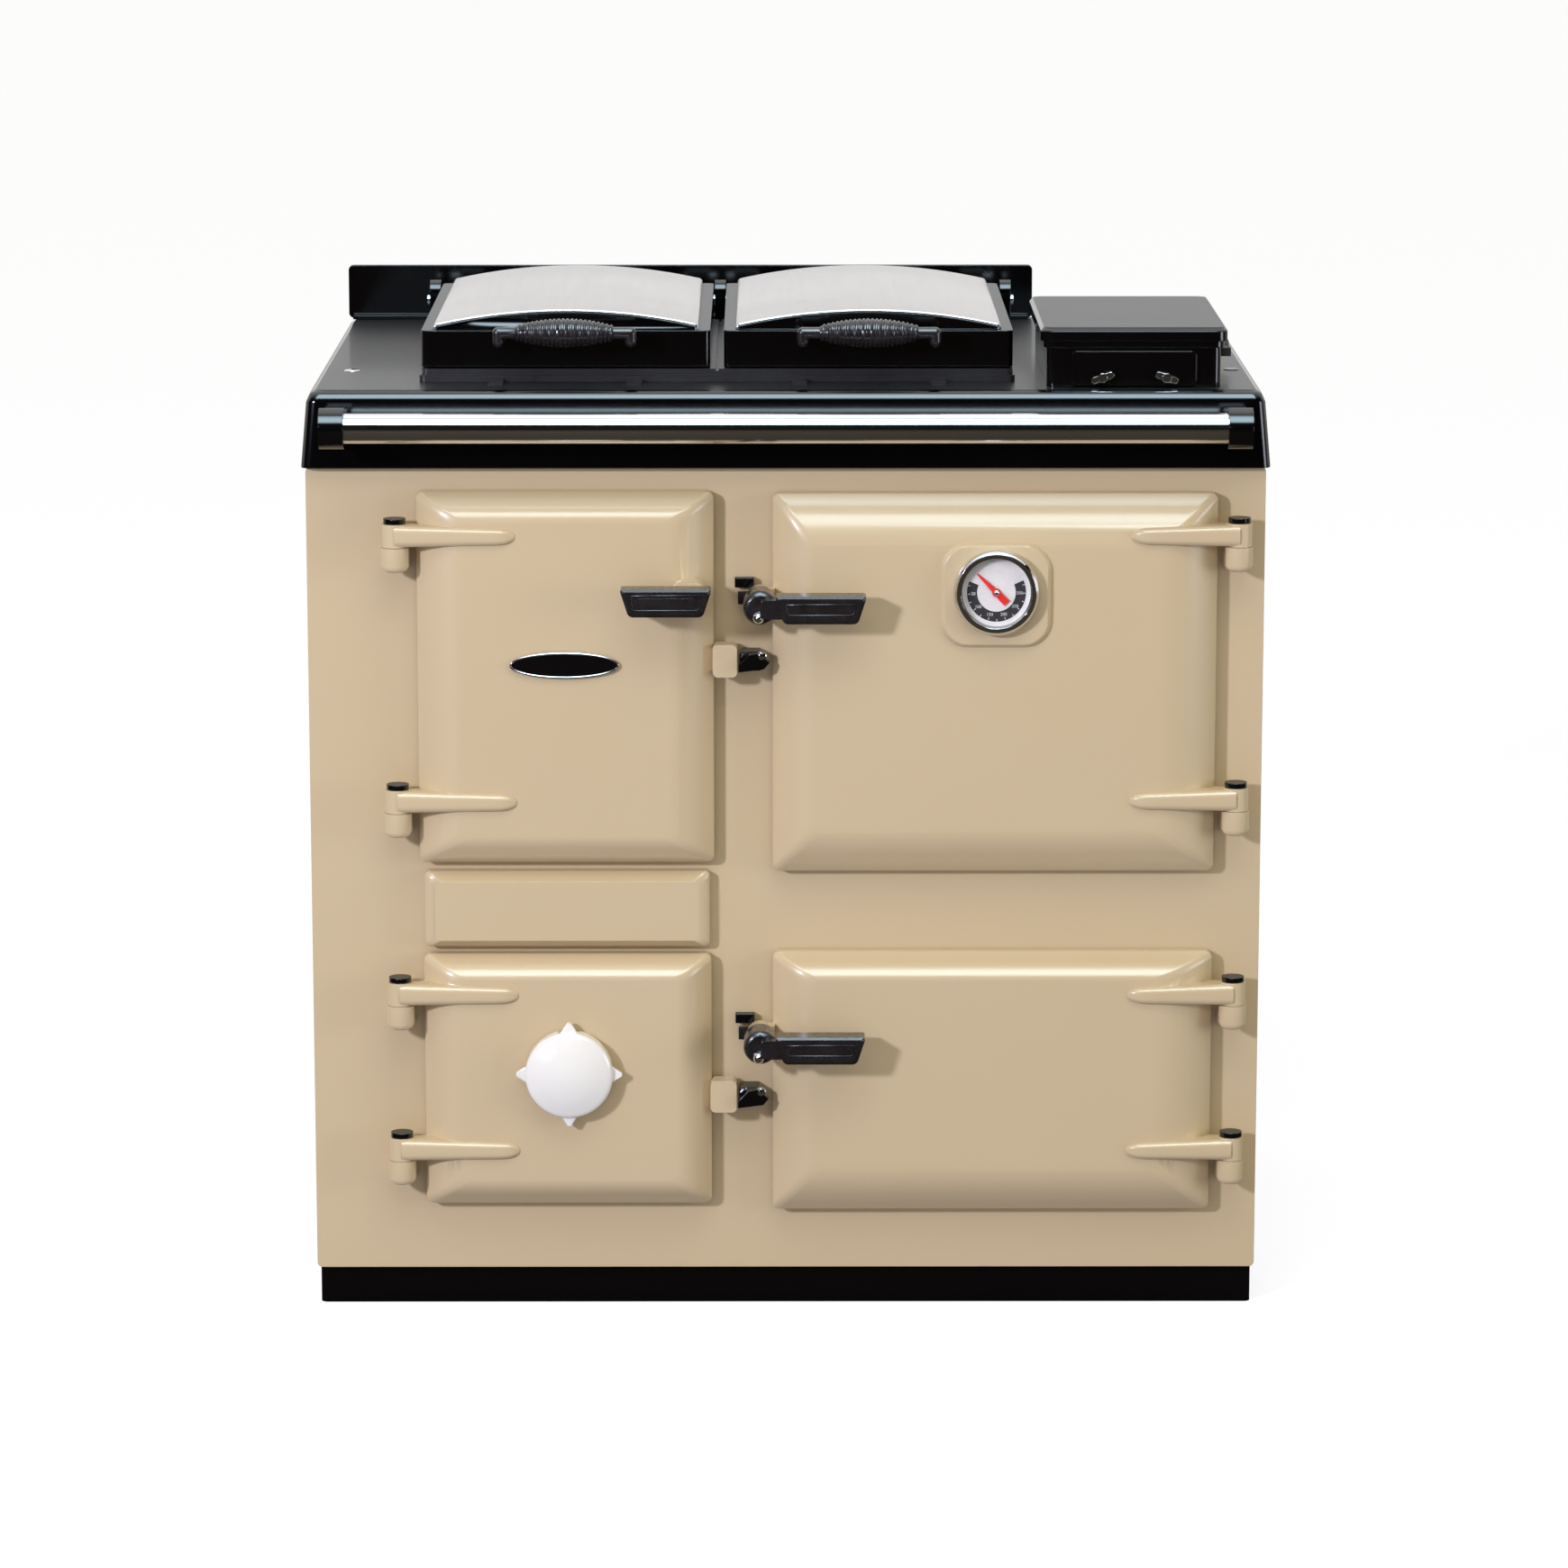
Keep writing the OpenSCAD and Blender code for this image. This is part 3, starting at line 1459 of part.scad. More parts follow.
module boiler() {
    y1 = box_y + oven_d - box_t - seat;
    y0 = y1 - boiler_d;
    x = [fire_x[0] + 3, fire_x[1] - 3];
    end = body_d + 14;
    color(iron) place() {
        slab(x, [y0, y1], [grate_z + seat, grate_z + boiler_h], 8);
        // pipe sockets screwed to the back of the tank
        for (z = boiler_taps())
            difference() {
                rod_y(left_mid, [y1 + seat, end], z, tapping_r + 6);
                rod_y(left_mid, [end - tapping_l, end + 1], z, tapping_r);
            }
    }
}

module bottom_grate() {
    x = [grate_x[0] - 8 + slide_gap, grate_x[1] + 8 - slide_gap];
    y = [grate_y[0] - 8 + slide_gap, grate_y[1] + 6];
    z = [grate_z - 12 + seat, grate_z - 2];
    color(iron) place() {
        difference() {
            block(x, y, z);
            block([x[0] + grate_rim, x[1] - grate_rim],
                  [y[0] + grate_rim, y[1] - grate_rim], [z[0] - 1, z[1] + 1]);
        }
        for (k = [1:grate_bars]) {
            xx = x[0] + grate_rim + (x[1] - x[0] - 2 * grate_rim) * k / (grate_bars + 1);
            block([xx - 3, xx + 3], [y[0] + grate_rim - 1, y[1] - grate_rim + 1], [z[0], z[1]]);
        }
        // lug for the riddling hook
        block([left_mid - 8, left_mid + 8], [grate_y[0] + 2, grate_y[0] + 12],
              [z[0] - 22, z[0] + 1]);
    }
}

module ash_pan() {
    x = [fire_x[0] + 14, fire_x[1] - 14];
    y = [box_y + 34, box_y + oven_d - box_t - 24];
    z0 = ash_floor + seat;
    t = 1.6;
    color(steel) place() {
        difference() {
            tray(x, y, [z0, z0 + ash_pan_h], 10);
            tray([x[0] + t, x[1] - t], [y[0] + t, y[1] - t], [z0 + t, z0 + ash_pan_h + 1],
                 9);
        }
        // handle across the front
        difference() {
            slab([left_mid - 45, left_mid + 45], [y[0] - 12, y[0] + 1],
                 [z0 + 50, z0 + 66], 4);
            block([left_mid - 38, left_mid + 38], [y[0] - 8, y[0]],
                  [z0 + 40, z0 + 70]);
        }
    }
}

plinth();
left_side_panel();
right_side_panel();
back_panel();
flue_collar();
front_plate();
hinge_lugs();
centre_plate();
top_plate();
splashback();
hotplate();
left_lid_dome();
left_lid_frame();
left_lid_liner();
left_lid_grip();
right_lid_dome();
right_lid_frame();
right_lid_liner();
right_lid_grip();
lid_hinge_posts();
lid_hinge_pins();
flue_box();
flue_box_cover();
flue_box_wing_nuts();
flue_damper();
towel_rail();
towel_rail_brackets();
fire_door();
fire_door_liner();
fire_door_rope();
fire_door_grip();
fire_door_plate();
ashpit_door();
ashpit_door_rope();
air_wheel_stud();
air_wheel_washer();
air_wheel();
main_oven_door();
main_oven_door_liner();
main_oven_door_rope();
main_oven_lever();
gauge_case();
gauge_dial();
gauge_pointer();
gauge_glass();
lower_oven_door();
lower_oven_door_liner();
lower_oven_door_rope();
lower_oven_lever();
door_hinge_pins();
door_catches();
main_oven_box();
main_oven_shelf();
lower_oven_box();
lower_oven_shelf();
firebox();
firebricks();
boiler();
bottom_grate();
ash_pan();
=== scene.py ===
"""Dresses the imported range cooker: finishes, rounded edges, fittings, studio and camera."""

from __future__ import annotations

import json
import logging
import math
from dataclasses import dataclass, field
from enum import Enum
from typing import Sequence

import bmesh
import bpy
from mathutils import Matrix, Vector

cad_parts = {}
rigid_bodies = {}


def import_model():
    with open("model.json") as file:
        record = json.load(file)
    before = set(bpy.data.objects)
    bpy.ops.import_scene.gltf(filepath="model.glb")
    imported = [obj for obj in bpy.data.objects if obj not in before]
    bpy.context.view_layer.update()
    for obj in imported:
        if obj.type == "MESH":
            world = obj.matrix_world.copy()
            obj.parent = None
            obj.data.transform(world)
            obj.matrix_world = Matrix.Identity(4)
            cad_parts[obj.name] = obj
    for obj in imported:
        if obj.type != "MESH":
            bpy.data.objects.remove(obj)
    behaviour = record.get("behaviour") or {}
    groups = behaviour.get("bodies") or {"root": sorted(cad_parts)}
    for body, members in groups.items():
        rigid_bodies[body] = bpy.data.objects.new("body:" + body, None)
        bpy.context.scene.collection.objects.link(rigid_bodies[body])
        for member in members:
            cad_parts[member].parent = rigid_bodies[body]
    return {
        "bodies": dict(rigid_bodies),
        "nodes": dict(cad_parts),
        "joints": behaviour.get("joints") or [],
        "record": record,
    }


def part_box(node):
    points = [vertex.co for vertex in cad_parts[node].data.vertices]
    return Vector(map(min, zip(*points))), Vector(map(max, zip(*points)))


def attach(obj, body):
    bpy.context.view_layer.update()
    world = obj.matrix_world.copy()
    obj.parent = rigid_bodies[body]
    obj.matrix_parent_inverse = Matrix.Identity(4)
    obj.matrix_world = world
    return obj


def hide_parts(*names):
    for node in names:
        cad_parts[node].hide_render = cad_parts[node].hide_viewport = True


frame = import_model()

LOG = logging.getLogger("cooker")
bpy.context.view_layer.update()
RGB = tuple[float, float, float]
Socket = bpy.types.NodeSocket
MM = 0.001


def linear(red: int, green: int, blue: int) -> RGB:
    """Turns an 8-bit screen colour into scene-linear values.

    Args:
        red: Red from 0 to 255.
        green: Green from 0 to 255.
        blue: Blue from 0 to 255.

    Returns:
        The linear colour.
    """

    def one(value: int) -> float:
        """Returns one channel in linear light."""
        c = value / 255
        return c / 12.92 if c <= 0.04045 else ((c + 0.055) / 1.055) ** 2.4

    return one(red), one(green), one(blue)


# Finishes ----------------------------------------------------------------------


def shade(colour: RGB, share: float) -> RGB:
    """Returns a colour at a share of its strength."""
    return tuple(channel * share for channel in colour)


class Nodes:
    """A node tree under construction."""

    def __init__(self, tree: bpy.types.NodeTree) -> None:
        """Starts with the tree emptied."""
        self.tree = tree
        tree.nodes.clear()

    def add(
        self, kind: str, inputs: dict[str | int, object] | None = None, **settings: object
    ) -> bpy.types.Node:
        """Adds a node.

        Args:
            kind: The node's type.
            inputs: Values or sockets for its inputs.
            **settings: Its settings.

        Returns:
            The node.
        """
        node = self.tree.nodes.new(kind)
        for key, value in settings.items():
            setattr(node, key, value)
        for key, value in (inputs or {}).items():
            if isinstance(value, Socket):
                self.tree.links.new(value, node.inputs[key])
            else:
                node.inputs[key].default_value = value
        return node

    def out(
        self, kind: str, inputs: dict[str | int, object] | None = None, **settings: object
    ) -> Socket:
        """Adds a node, as add does, and returns its first output."""
        return self.add(kind, inputs, **settings).outputs[0]

    def sum(self, operation: str, *values: object) -> Socket:
        """Returns the result of a number operation."""
        return self.out("ShaderNodeMath", dict(enumerate(values)), operation=operation)

    def spread(
        self, value: Socket, low: float, high: float, start: float = 0.35,
        end: float = 0.65, **settings: object,
    ) -> Socket:
        """Maps a range of values to another.

        Args:
            value: The value, such as a pattern's.
            low: Result at the start of the range.
            high: Result at its end.
            start: Where the range starts.
            end: Where it ends.
            **settings: Settings of the node.

        Returns:
            The mapped value.
        """
        limits = {"From Min": start, "From Max": end, "To Min": low, "To Max": high}
        return self.out("ShaderNodeMapRange", {"Value": value, **limits}, **settings)

    def blend(
        self, share: Socket, first: RGB | Socket, second: RGB
    ) -> Socket:
        """Mixes two colours by a pattern.

        Args:
            share: From 0, the first, to 1, the second.
            first: A colour, or a socket that gives one.
            second: A colour.

        Returns:
            The mixed colour.
        """
        if not isinstance(first, Socket):
            first = (*first, 1.0)
        colours = {"Factor": share, 6: first, 7: (*second, 1.0)}
        return self.add("ShaderNodeMix", colours, data_type="RGBA").outputs[2]


class Shaders(Nodes):
    """A shader tree under construction."""

    def __init__(self, tree: bpy.types.NodeTree, end: str = "ShaderNodeOutputMaterial") -> None:
        """Starts a tree.

        Args:
            tree: The tree to fill.
            end: The type of its output node.
        """
        super().__init__(tree)
        self.end = self.add(end)

    def ray(self, kind: str) -> Socket:
        """Tells whether a ray of a kind, such as Glossy, looks here."""
        return self.add("ShaderNodeLightPath").outputs[f"Is {kind} Ray"]

    def mix(self, share: Socket, first: Socket, second: Socket) -> Socket:
        """Mixes two shaders: at 0 the first, at 1 the second."""
        return self.out("ShaderNodeMixShader", {0: share, 1: first, 2: second})

    def show(self, result: Socket) -> None:
        """Makes a shader the tree's result."""
        self.tree.links.new(result, self.end.inputs["Surface"])


class Shader(Shaders):
    """A material of the cooker under construction."""

    def __init__(self, name: str) -> None:
        """Starts a material.

        Args:
            name: Its name.
        """
        self.material = bpy.data.materials.new(name)
        self.material.use_nodes = True
        super().__init__(self.material.node_tree)
        self.body = self.add("ShaderNodeBsdfPrincipled")
        self.show(self.body.outputs[0])
        self.coords = self.add("ShaderNodeTexCoord").outputs["Object"]

    def finish(self, **values: object) -> bpy.types.Material:
        """Sets or feeds the shader's own sockets.

        Args:
            **values: Values or sockets by the input's name, with _ for a space.

        Returns:
            The material.
        """
        for name, value in values.items():
            socket = self.body.inputs[name.replace("_", " ")]
            if isinstance(value, Socket):
                self.tree.links.new(value, socket)
            else:
                socket.default_value = value
        return self.material

    def noise(
        self, scale: float, detail: float = 3.0, rough: float = 0.5,
        stretch: Sequence[float] | None = None,
    ) -> Socket:
        """Adds a noise pattern.

        Args:
            scale: Waves per metre.
            detail: Octaves.
            rough: Weight of the finer octaves.
            stretch: Three factors for the object's coordinates.

        Returns:
            The noise value.
        """
        where = self.coords
        if stretch:
            where = self.out("ShaderNodeMapping", {"Vector": where, "Scale": stretch})
        waves = {"Vector": where, "Scale": scale, "Detail": detail, "Roughness": rough}
        return self.add("ShaderNodeTexNoise", waves).outputs["Fac"]

    def cells(self, scale: float) -> Socket:
        """Returns the distance of a cell pattern with so many cells per metre."""
        pattern = {"Vector": self.coords, "Scale": scale}
        return self.add("ShaderNodeTexVoronoi", pattern).outputs["Distance"]

    def bump(
        self, height: Socket, depth: float,
        under: Socket | None = None,
    ) -> Socket:
        """Adds relief.

        Args:
            height: The pattern.
            depth: Its height in metres.
            under: A normal that it lies on.

        Returns:
            The new normal.
        """
        inputs = {"Height": height, "Distance": depth, "Strength": 1.0}
        if under is not None:
            inputs["Normal"] = under
        return self.out("ShaderNodeBump", inputs)

    def soft_edges(self, radius: float) -> Socket | None:
        """Rounds the edges in the shading.

        Args:
            radius: How wide, in metres; 0 leaves them as they are.

        Returns:
            The normal, or none.
        """
        if not radius:
            return None
        return self.out("ShaderNodeBevel", {"Radius": radius}, samples=4)


@dataclass(frozen=True)
class Enamel:
    """Vitreous enamel over a casting: glossy, a little wavy, with faint clouding.

    Faces that look up are scrubbed duller, by scrub.
    """

    colour: RGB
    cloud: RGB
    rough: float
    ripple: float
    edge: float
    coat: float = 0.7
    coat_rough: float = 0.08
    scrub: float = 0.0

    def build(self, s: Shader) -> bpy.types.Material:
        """Makes the material.

        Args:
            s: The empty material.

        Returns:
            The finished material.
        """
        cloud = s.spread(s.noise(3.0, 2.0), 0.0, 1.0, 0.2, 0.8)
        base = s.blend(cloud, self.colour, self.cloud)
        fleck = s.spread(s.noise(700.0, 1.0), 0.0, 0.12, 0.66, 0.8)
        gloss = s.spread(s.noise(9.0, 2.0), self.rough * 0.95, self.rough * 1.05, 0.2, 0.8)
        up = s.add("ShaderNodeAttribute", attribute_name="looks_up").outputs["Fac"]
        wavy = s.bump(s.noise(26.0, 2.0), self.ripple, s.soft_edges(self.edge))
        return s.finish(
            Base_Color=s.blend(fleck, base, shade(self.colour, 0.72)),
            Roughness=s.sum("ADD", gloss, s.spread(up, 0.0, self.scrub, 0.0, 1.0)),
            Normal=s.bump(s.noise(260.0, 2.0), self.ripple * 0.06, wavy),
            IOR=1.5, Coat_Weight=self.coat, Coat_Roughness=self.coat_rough, Coat_IOR=1.5,
        )


@dataclass(frozen=True)
class BrightMetal:
    """Polished or plated metal with the fine lines of its polishing."""

    colour: RGB
    rough: float
    lines: tuple[float, float, float] = (40.0, 900.0, 900.0)
    relief: float = 0.00001
    edge: float = 0.0
    vary: float = 0.35

    def build(self, s: Shader) -> bpy.types.Material:
        """Makes the material.

        Args:
            s: The empty material.

        Returns:
            The finished material.
        """
        grain = s.noise(1.0, 4.0, 0.6, self.lines)
        smear = s.spread(s.noise(7.0, 3.0), 0.0, 1.0)
        low, high = self.rough * (1 - self.vary), self.rough * (1 + self.vary)
        return s.finish(
            Base_Color=s.blend(smear, self.colour, shade(self.colour, 0.93)),
            Roughness=s.spread(grain, low, high),
            Normal=s.bump(grain, self.relief, s.soft_edges(self.edge)),
            Metallic=1.0,
        )


@dataclass(frozen=True)
class Iron:
    """Cast iron as it leaves the sand, or lightly machined."""

    colour: RGB
    rust: RGB
    rough: float = 0.55
    metal: float = 0.6
    grain: float = 0.0004

    def build(self, s: Shader) -> bpy.types.Material:
        """Makes the material.

        Args:
            s: The empty material.

        Returns:
            The finished material.
        """
        patch = s.spread(s.noise(14.0, 6.0, 0.6), 0.0, 0.6, 0.5, 0.8)
        sand = s.noise(700.0, 3.0, 0.7)
        rolled = s.bump(s.noise(60.0, 3.0), self.grain)
        return s.finish(
            Base_Color=s.blend(patch, self.colour, self.rust),
            Roughness=s.spread(sand, self.rough * 0.8, self.rough * 1.25),
            Normal=s.bump(sand, self.grain * 0.3, rolled),
            Metallic=self.metal,
        )


@dataclass(frozen=True)
class Galvanised:
    """Zinc-coated sheet with its crystal pattern."""

    colour: RGB

    def build(self, s: Shader) -> bpy.types.Material:
        """Makes the material.

        Args:
            s: The empty material.

        Returns:
            The finished material.
        """
        flakes = s.spread(s.cells(70.0), 0.0, 1.0, 0.1, 0.8)
        return s.finish(
            Base_Color=s.blend(flakes, self.colour, shade(self.colour, 0.75)),
            Roughness=s.spread(s.cells(70.0), 0.3, 0.48, 0.1, 0.8),
            Normal=s.bump(s.noise(300.0, 2.0), 0.00003),
            Metallic=0.85,
        )


@dataclass(frozen=True)
class Moulding:
    """Dark moulded grip with a fine satin skin."""

    colour: RGB
    rough: float = 0.28
    edge: float = 0.0006

    def build(self, s: Shader) -> bpy.types.Material:
        """Makes the material.

        Args:
            s: The empty material.

        Returns:
            The finished material.
        """
        cloud = s.spread(s.noise(40.0, 3.0), 0.0, 1.0)
        return s.finish(
            Base_Color=s.blend(cloud, self.colour, shade(self.colour, 1.5)),
            Roughness=s.spread(s.noise(120.0, 3.0), self.rough * 0.8, self.rough * 1.3),
            Normal=s.bump(s.noise(500.0, 2.0), 0.000004, s.soft_edges(self.edge)),
            IOR=1.5, Coat_Weight=0.5, Coat_Roughness=0.2,
        )


@dataclass(frozen=True)
class Fibre:
    """Braided glass rope."""

    colour: RGB

    def build(self, s: Shader) -> bpy.types.Material:
        """Makes the material.

        Args:
            s: The empty material.

        Returns:
            The finished material.
        """
        yarn = s.noise(500.0, 4.0, 0.7)
        return s.finish(
            Base_Color=s.blend(s.spread(yarn, 0.0, 1.0), self.colour, shade(self.colour, 0.6)),
            Normal=s.bump(yarn, 0.0004),
            Roughness=0.9, Sheen_Weight=0.25, Sheen_Roughness=0.5,
        )


@dataclass(frozen=True)
class Brick:
    """Fired brick, pitted and sooted."""

    colour: RGB
    soot: RGB

    def build(self, s: Shader) -> bpy.types.Material:
        """Makes the material.

        Args:
            s: The empty material.

        Returns:
            The finished material.
        """
        dark = s.spread(s.noise(9.0, 6.0, 0.65), 0.0, 0.85, 0.4, 0.7)
        pits = s.bump(s.noise(160.0, 5.0, 0.7), 0.0015)
        return s.finish(
            Base_Color=s.blend(dark, self.colour, self.soot),
            Normal=s.bump(s.noise(900.0, 3.0), 0.0003, pits),
            Roughness=0.95,
        )


@dataclass(frozen=True)
class Lacquer:
    """Flat paint or print on the dial."""

    colour: RGB
    rough: float = 0.45

    def build(self, s: Shader) -> bpy.types.Material:
        """Makes the material.

        Args:
            s: The empty material.

        Returns:
            The finished material.
        """
        grain = s.noise(350.0, 3.0)
        return s.finish(
            Base_Color=s.blend(s.spread(grain, 0.0, 1.0), self.colour, shade(self.colour, 0.94)),
            Roughness=s.spread(grain, self.rough * 0.85, self.rough * 1.15),
            Normal=s.bump(grain, 0.00001),
        )


@dataclass(frozen=True)
class Pane:
    """Clear glass, through which light reaches the dial."""

    def build(self, s: Shader) -> bpy.types.Material:
        """Makes the material.

        Args:
            s: The empty material.

        Returns:
            The finished material.
        """
        clear = s.out("ShaderNodeBsdfTransparent")
        s.show(s.mix(s.ray("Shadow"), s.body.outputs[0], clear))
        return s.finish(
            Roughness=s.spread(s.noise(120.0, 2.0), 0.0, 0.02),
            Base_Color=(1.0, 1.0, 1.0, 1.0), Transmission_Weight=1.0, IOR=1.45,
        )


class Finish(Enum):
    """The finishes that the cooker's pieces carry."""

    CREAM = "cream_enamel"
    BLACK = "black_enamel"
    LID = "polished_steel"
    CHROME = "chrome_plate"
    HOT = "hotplate_iron"
    IRON = "raw_iron"
    ZINC = "galvanised_steel"
    GRIP = "grip_black"
    WHEEL = "wheel_white"
    BRASS = "brass"
    ROPE = "seal_rope"
    BRICK = "firebrick"
    GLASS = "gauge_glass"
    DIAL = "dial_white"
    RED = "pointer_red"
    INK = "dial_ink"


Recipe = Enamel | BrightMetal | Iron | Galvanised | Moulding | Fibre | Brick | Lacquer | Pane
RECIPES: dict[Finish, Recipe] = {
    Finish.CREAM: Enamel(
        linear(208, 186, 147), linear(206, 183, 144), 0.36, 0.00006, 0.0012, 0.5, 0.16
    ),
    Finish.BLACK: Enamel(
        linear(4, 3, 4), linear(6, 5, 6), 0.12, 0.00004, 0.0015, 0.15, 0.1, 0.3
    ),
    Finish.LID: BrightMetal(
        linear(205, 201, 199), 0.24, (160.0, 5.0, 160.0), 0.0000003, 0.001, 0.08
    ),
    Finish.CHROME: BrightMetal(
        linear(228, 228, 230), 0.07, (60.0, 700.0, 700.0), 0.000004, 0.0008
    ),
    Finish.HOT: Iron(linear(70, 68, 68), linear(52, 47, 44), 0.4, 0.8, 0.0001),
    Finish.IRON: Iron(linear(58, 56, 56), linear(66, 52, 43)),
    Finish.ZINC: Galvanised(linear(176, 178, 180)),
    Finish.GRIP: Moulding(linear(26, 21, 21)),
    Finish.WHEEL: Enamel(linear(246, 242, 233), linear(243, 238, 228), 0.2, 0.00004, 0.001),
    Finish.BRASS: BrightMetal(linear(206, 170, 104), 0.25),
    Finish.ROPE: Fibre(linear(196, 188, 170)),
    Finish.BRICK: Brick(linear(186, 156, 116), linear(52, 46, 42)),
    Finish.GLASS: Pane(),
    Finish.DIAL: Lacquer(linear(192, 187, 176)),
    Finish.RED: Lacquer(linear(196, 34, 26), 0.35),
    Finish.INK: Lacquer(linear(22, 22, 24), 0.5),
}


class Paintbox:
    """Makes each finish's material once."""

    def __init__(self) -> None:
        """Starts with no materials made."""
        self.made: dict[Finish, bpy.types.Material] = {}

    def __call__(self, finish: Finish) -> bpy.types.Material:
        """Gives the material of a finish, which is made on its first use.

        Args:
            finish: The finish.

        Returns:
            The material.
        """
        if finish not in self.made:
            self.made[finish] = RECIPES[finish].build(Shader(finish.value))
        return self.made[finish]


PAINT = Paintbox()


# Making pieces -----------------------------------------------------------------

FACE_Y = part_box("front_plate")[0][1]
HOB_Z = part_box("top_plate")[1][2]
BODY_DEPTH = 598 * MM


def corners(node: str) -> tuple[Vector, Vector]:
    """Returns a node's lowest and highest corners."""
    low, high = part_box(node)
    return Vector(low), Vector(high)


def middle(node: str) -> Vector:
    """Returns the middle of a node's box."""
    low, high = corners(node)
    return (low + high) / 2


def linked(name: str, data: bpy.types.ID) -> bpy.types.Object:
    """Links a new object to the scene.

    Args:
        name: The object's name.
        data: Its mesh, curve, camera or light.

    Returns:
        The object.
    """
    item = bpy.data.objects.new(name, data)
    bpy.context.scene.collection.objects.link(item)
    return item


def plain_mesh(item: bpy.types.Object) -> bpy.types.Mesh:
    """Makes what an object's modifiers or outlines give.

    Args:
        item: The object.

    Returns:
        A plain mesh.
    """
    bpy.context.view_layer.update()
    graph = bpy.context.evaluated_depsgraph_get()
    return bpy.data.meshes.new_from_object(item.evaluated_get(graph))


def smooth(mesh: bpy.types.Mesh, sharp: float | None = None) -> bpy.types.Mesh:
    """Makes a mesh smooth.

    Args:
        mesh: The mesh.
        sharp: Edges over this angle, in degrees, stay sharp.

    Returns:
        The same mesh.
    """
    for polygon in mesh.polygons:
        polygon.use_smooth = True
    if sharp is not None:
        mesh.set_sharp_from_angle(angle=math.radians(sharp))
    return mesh


@dataclass(frozen=True)
class Dress:
    """How a CAD node is dressed: its finish, and the angle over which edges stay sharp."""

    finish: Finish
    sharp: float = 35.0


class GeoTree(Nodes):
    """A Geometry Nodes tree under construction, with named inputs for its sizes."""

    def __init__(self, name: str, finish: Finish) -> None:
        """Starts a tree.

        Args:
            name: Its name.
            finish: The finish of all that it makes.
        """
        self.group = bpy.data.node_groups.new(name, "GeometryNodeTree")
        super().__init__(self.group)
        face = self.group.interface
        face.new_socket("Seeds", in_out="INPUT", socket_type="NodeSocketGeometry")
        face.new_socket("Result", in_out="OUTPUT", socket_type="NodeSocketGeometry")
        self.start = self.add("NodeGroupInput")
        self.end = self.add("NodeGroupOutput")
        self.finish = finish
        self.ids: dict[str, str] = {}

    @property
    def seeds(self) -> Socket:
        """The geometry that the tree starts from."""
        return self.start.outputs["Seeds"]

    def size(self, name: str, value: float) -> Socket:
        """Adds a named size to the tree's inputs.

        Args:
            name: Its name.
            value: Its usual value.

        Returns:
            Its socket.
        """
        item = self.group.interface.new_socket(
            name, in_out="INPUT", socket_type="NodeSocketFloat"
        )
        item.default_value = value
        self.ids[name] = item.identifier
        return self.start.outputs[name]

    def xyz(self, x: object = 0.0, y: object = 0.0, z: object = 0.0) -> Socket:
        """Joins three numbers or sockets to a vector."""
        return self.out("ShaderNodeCombineXYZ", {"X": x, "Y": y, "Z": z})

    def times(self, first: object, second: object) -> Socket:
        """Returns the product of two numbers or sockets."""
        return self.sum("MULTIPLY", first, second)

    def sweep(self, path: Socket, profile: Socket, caps: bool = False) -> Socket:
        """Runs a profile along a path, with or without caps."""
        curves = {"Curve": path, "Profile Curve": profile, "Fill Caps": caps}
        return self.out("GeometryNodeCurveToMesh", curves)

    def circle(self, steps: int, radius: Socket) -> Socket:
        """Returns a circle of so many steps."""
        size = {"Resolution": steps, "Radius": radius}
        return self.out("GeometryNodeCurvePrimitiveCircle", size, mode="RADIUS")

    def close(self, geometry: Socket) -> GeoTree:
        """Ends the tree with real geometry in its finish.

        Args:
            geometry: What the tree makes.

        Returns:
            The tree.
        """
        real = self.out("GeometryNodeRealizeInstances", {"Geometry": geometry})
        painted = self.out(
            "GeometryNodeSetMaterial", {"Geometry": real, "Material": PAINT(self.finish)}
        )
        self.group.links.new(painted, self.end.inputs["Result"])
        return self


def screw_tree(finish: Finish) -> GeoTree:
    """Makes a tree that sets a slotted dome-headed screw on each seed.

    Args:
        finish: The screws' finish.

    Returns:
        The tree. It turns each screw to its seed's facing attribute.
    """
    tree = GeoTree(f"screws_{finish.value}", finish)
    radius = tree.size("Head radius", 0.004)
    height = tree.size("Head height", 0.0018)
    slot = tree.size("Slot width", 0.0009)
    ball = tree.out("GeometryNodeMeshUVSphere", {"Segments": 20, "Rings": 10, "Radius": 1.0})
    head = tree.out(
        "GeometryNodeTransform", {"Geometry": ball, "Scale": tree.xyz(radius, radius, height)}
    )
    block = tree.out(
        "GeometryNodeMeshCube", {"Size": tree.xyz(tree.times(radius, 2.6), slot, height)}
    )
    cutter = tree.out(
        "GeometryNodeTransform", {"Geometry": block, "Translation": tree.xyz(z=height)}
    )
    cut = tree.out(
        "GeometryNodeMeshBoolean", {"Mesh 1": head, "Mesh 2": cutter}, operation="DIFFERENCE"
    )
    return tree.close(on_seeds(tree, cut))


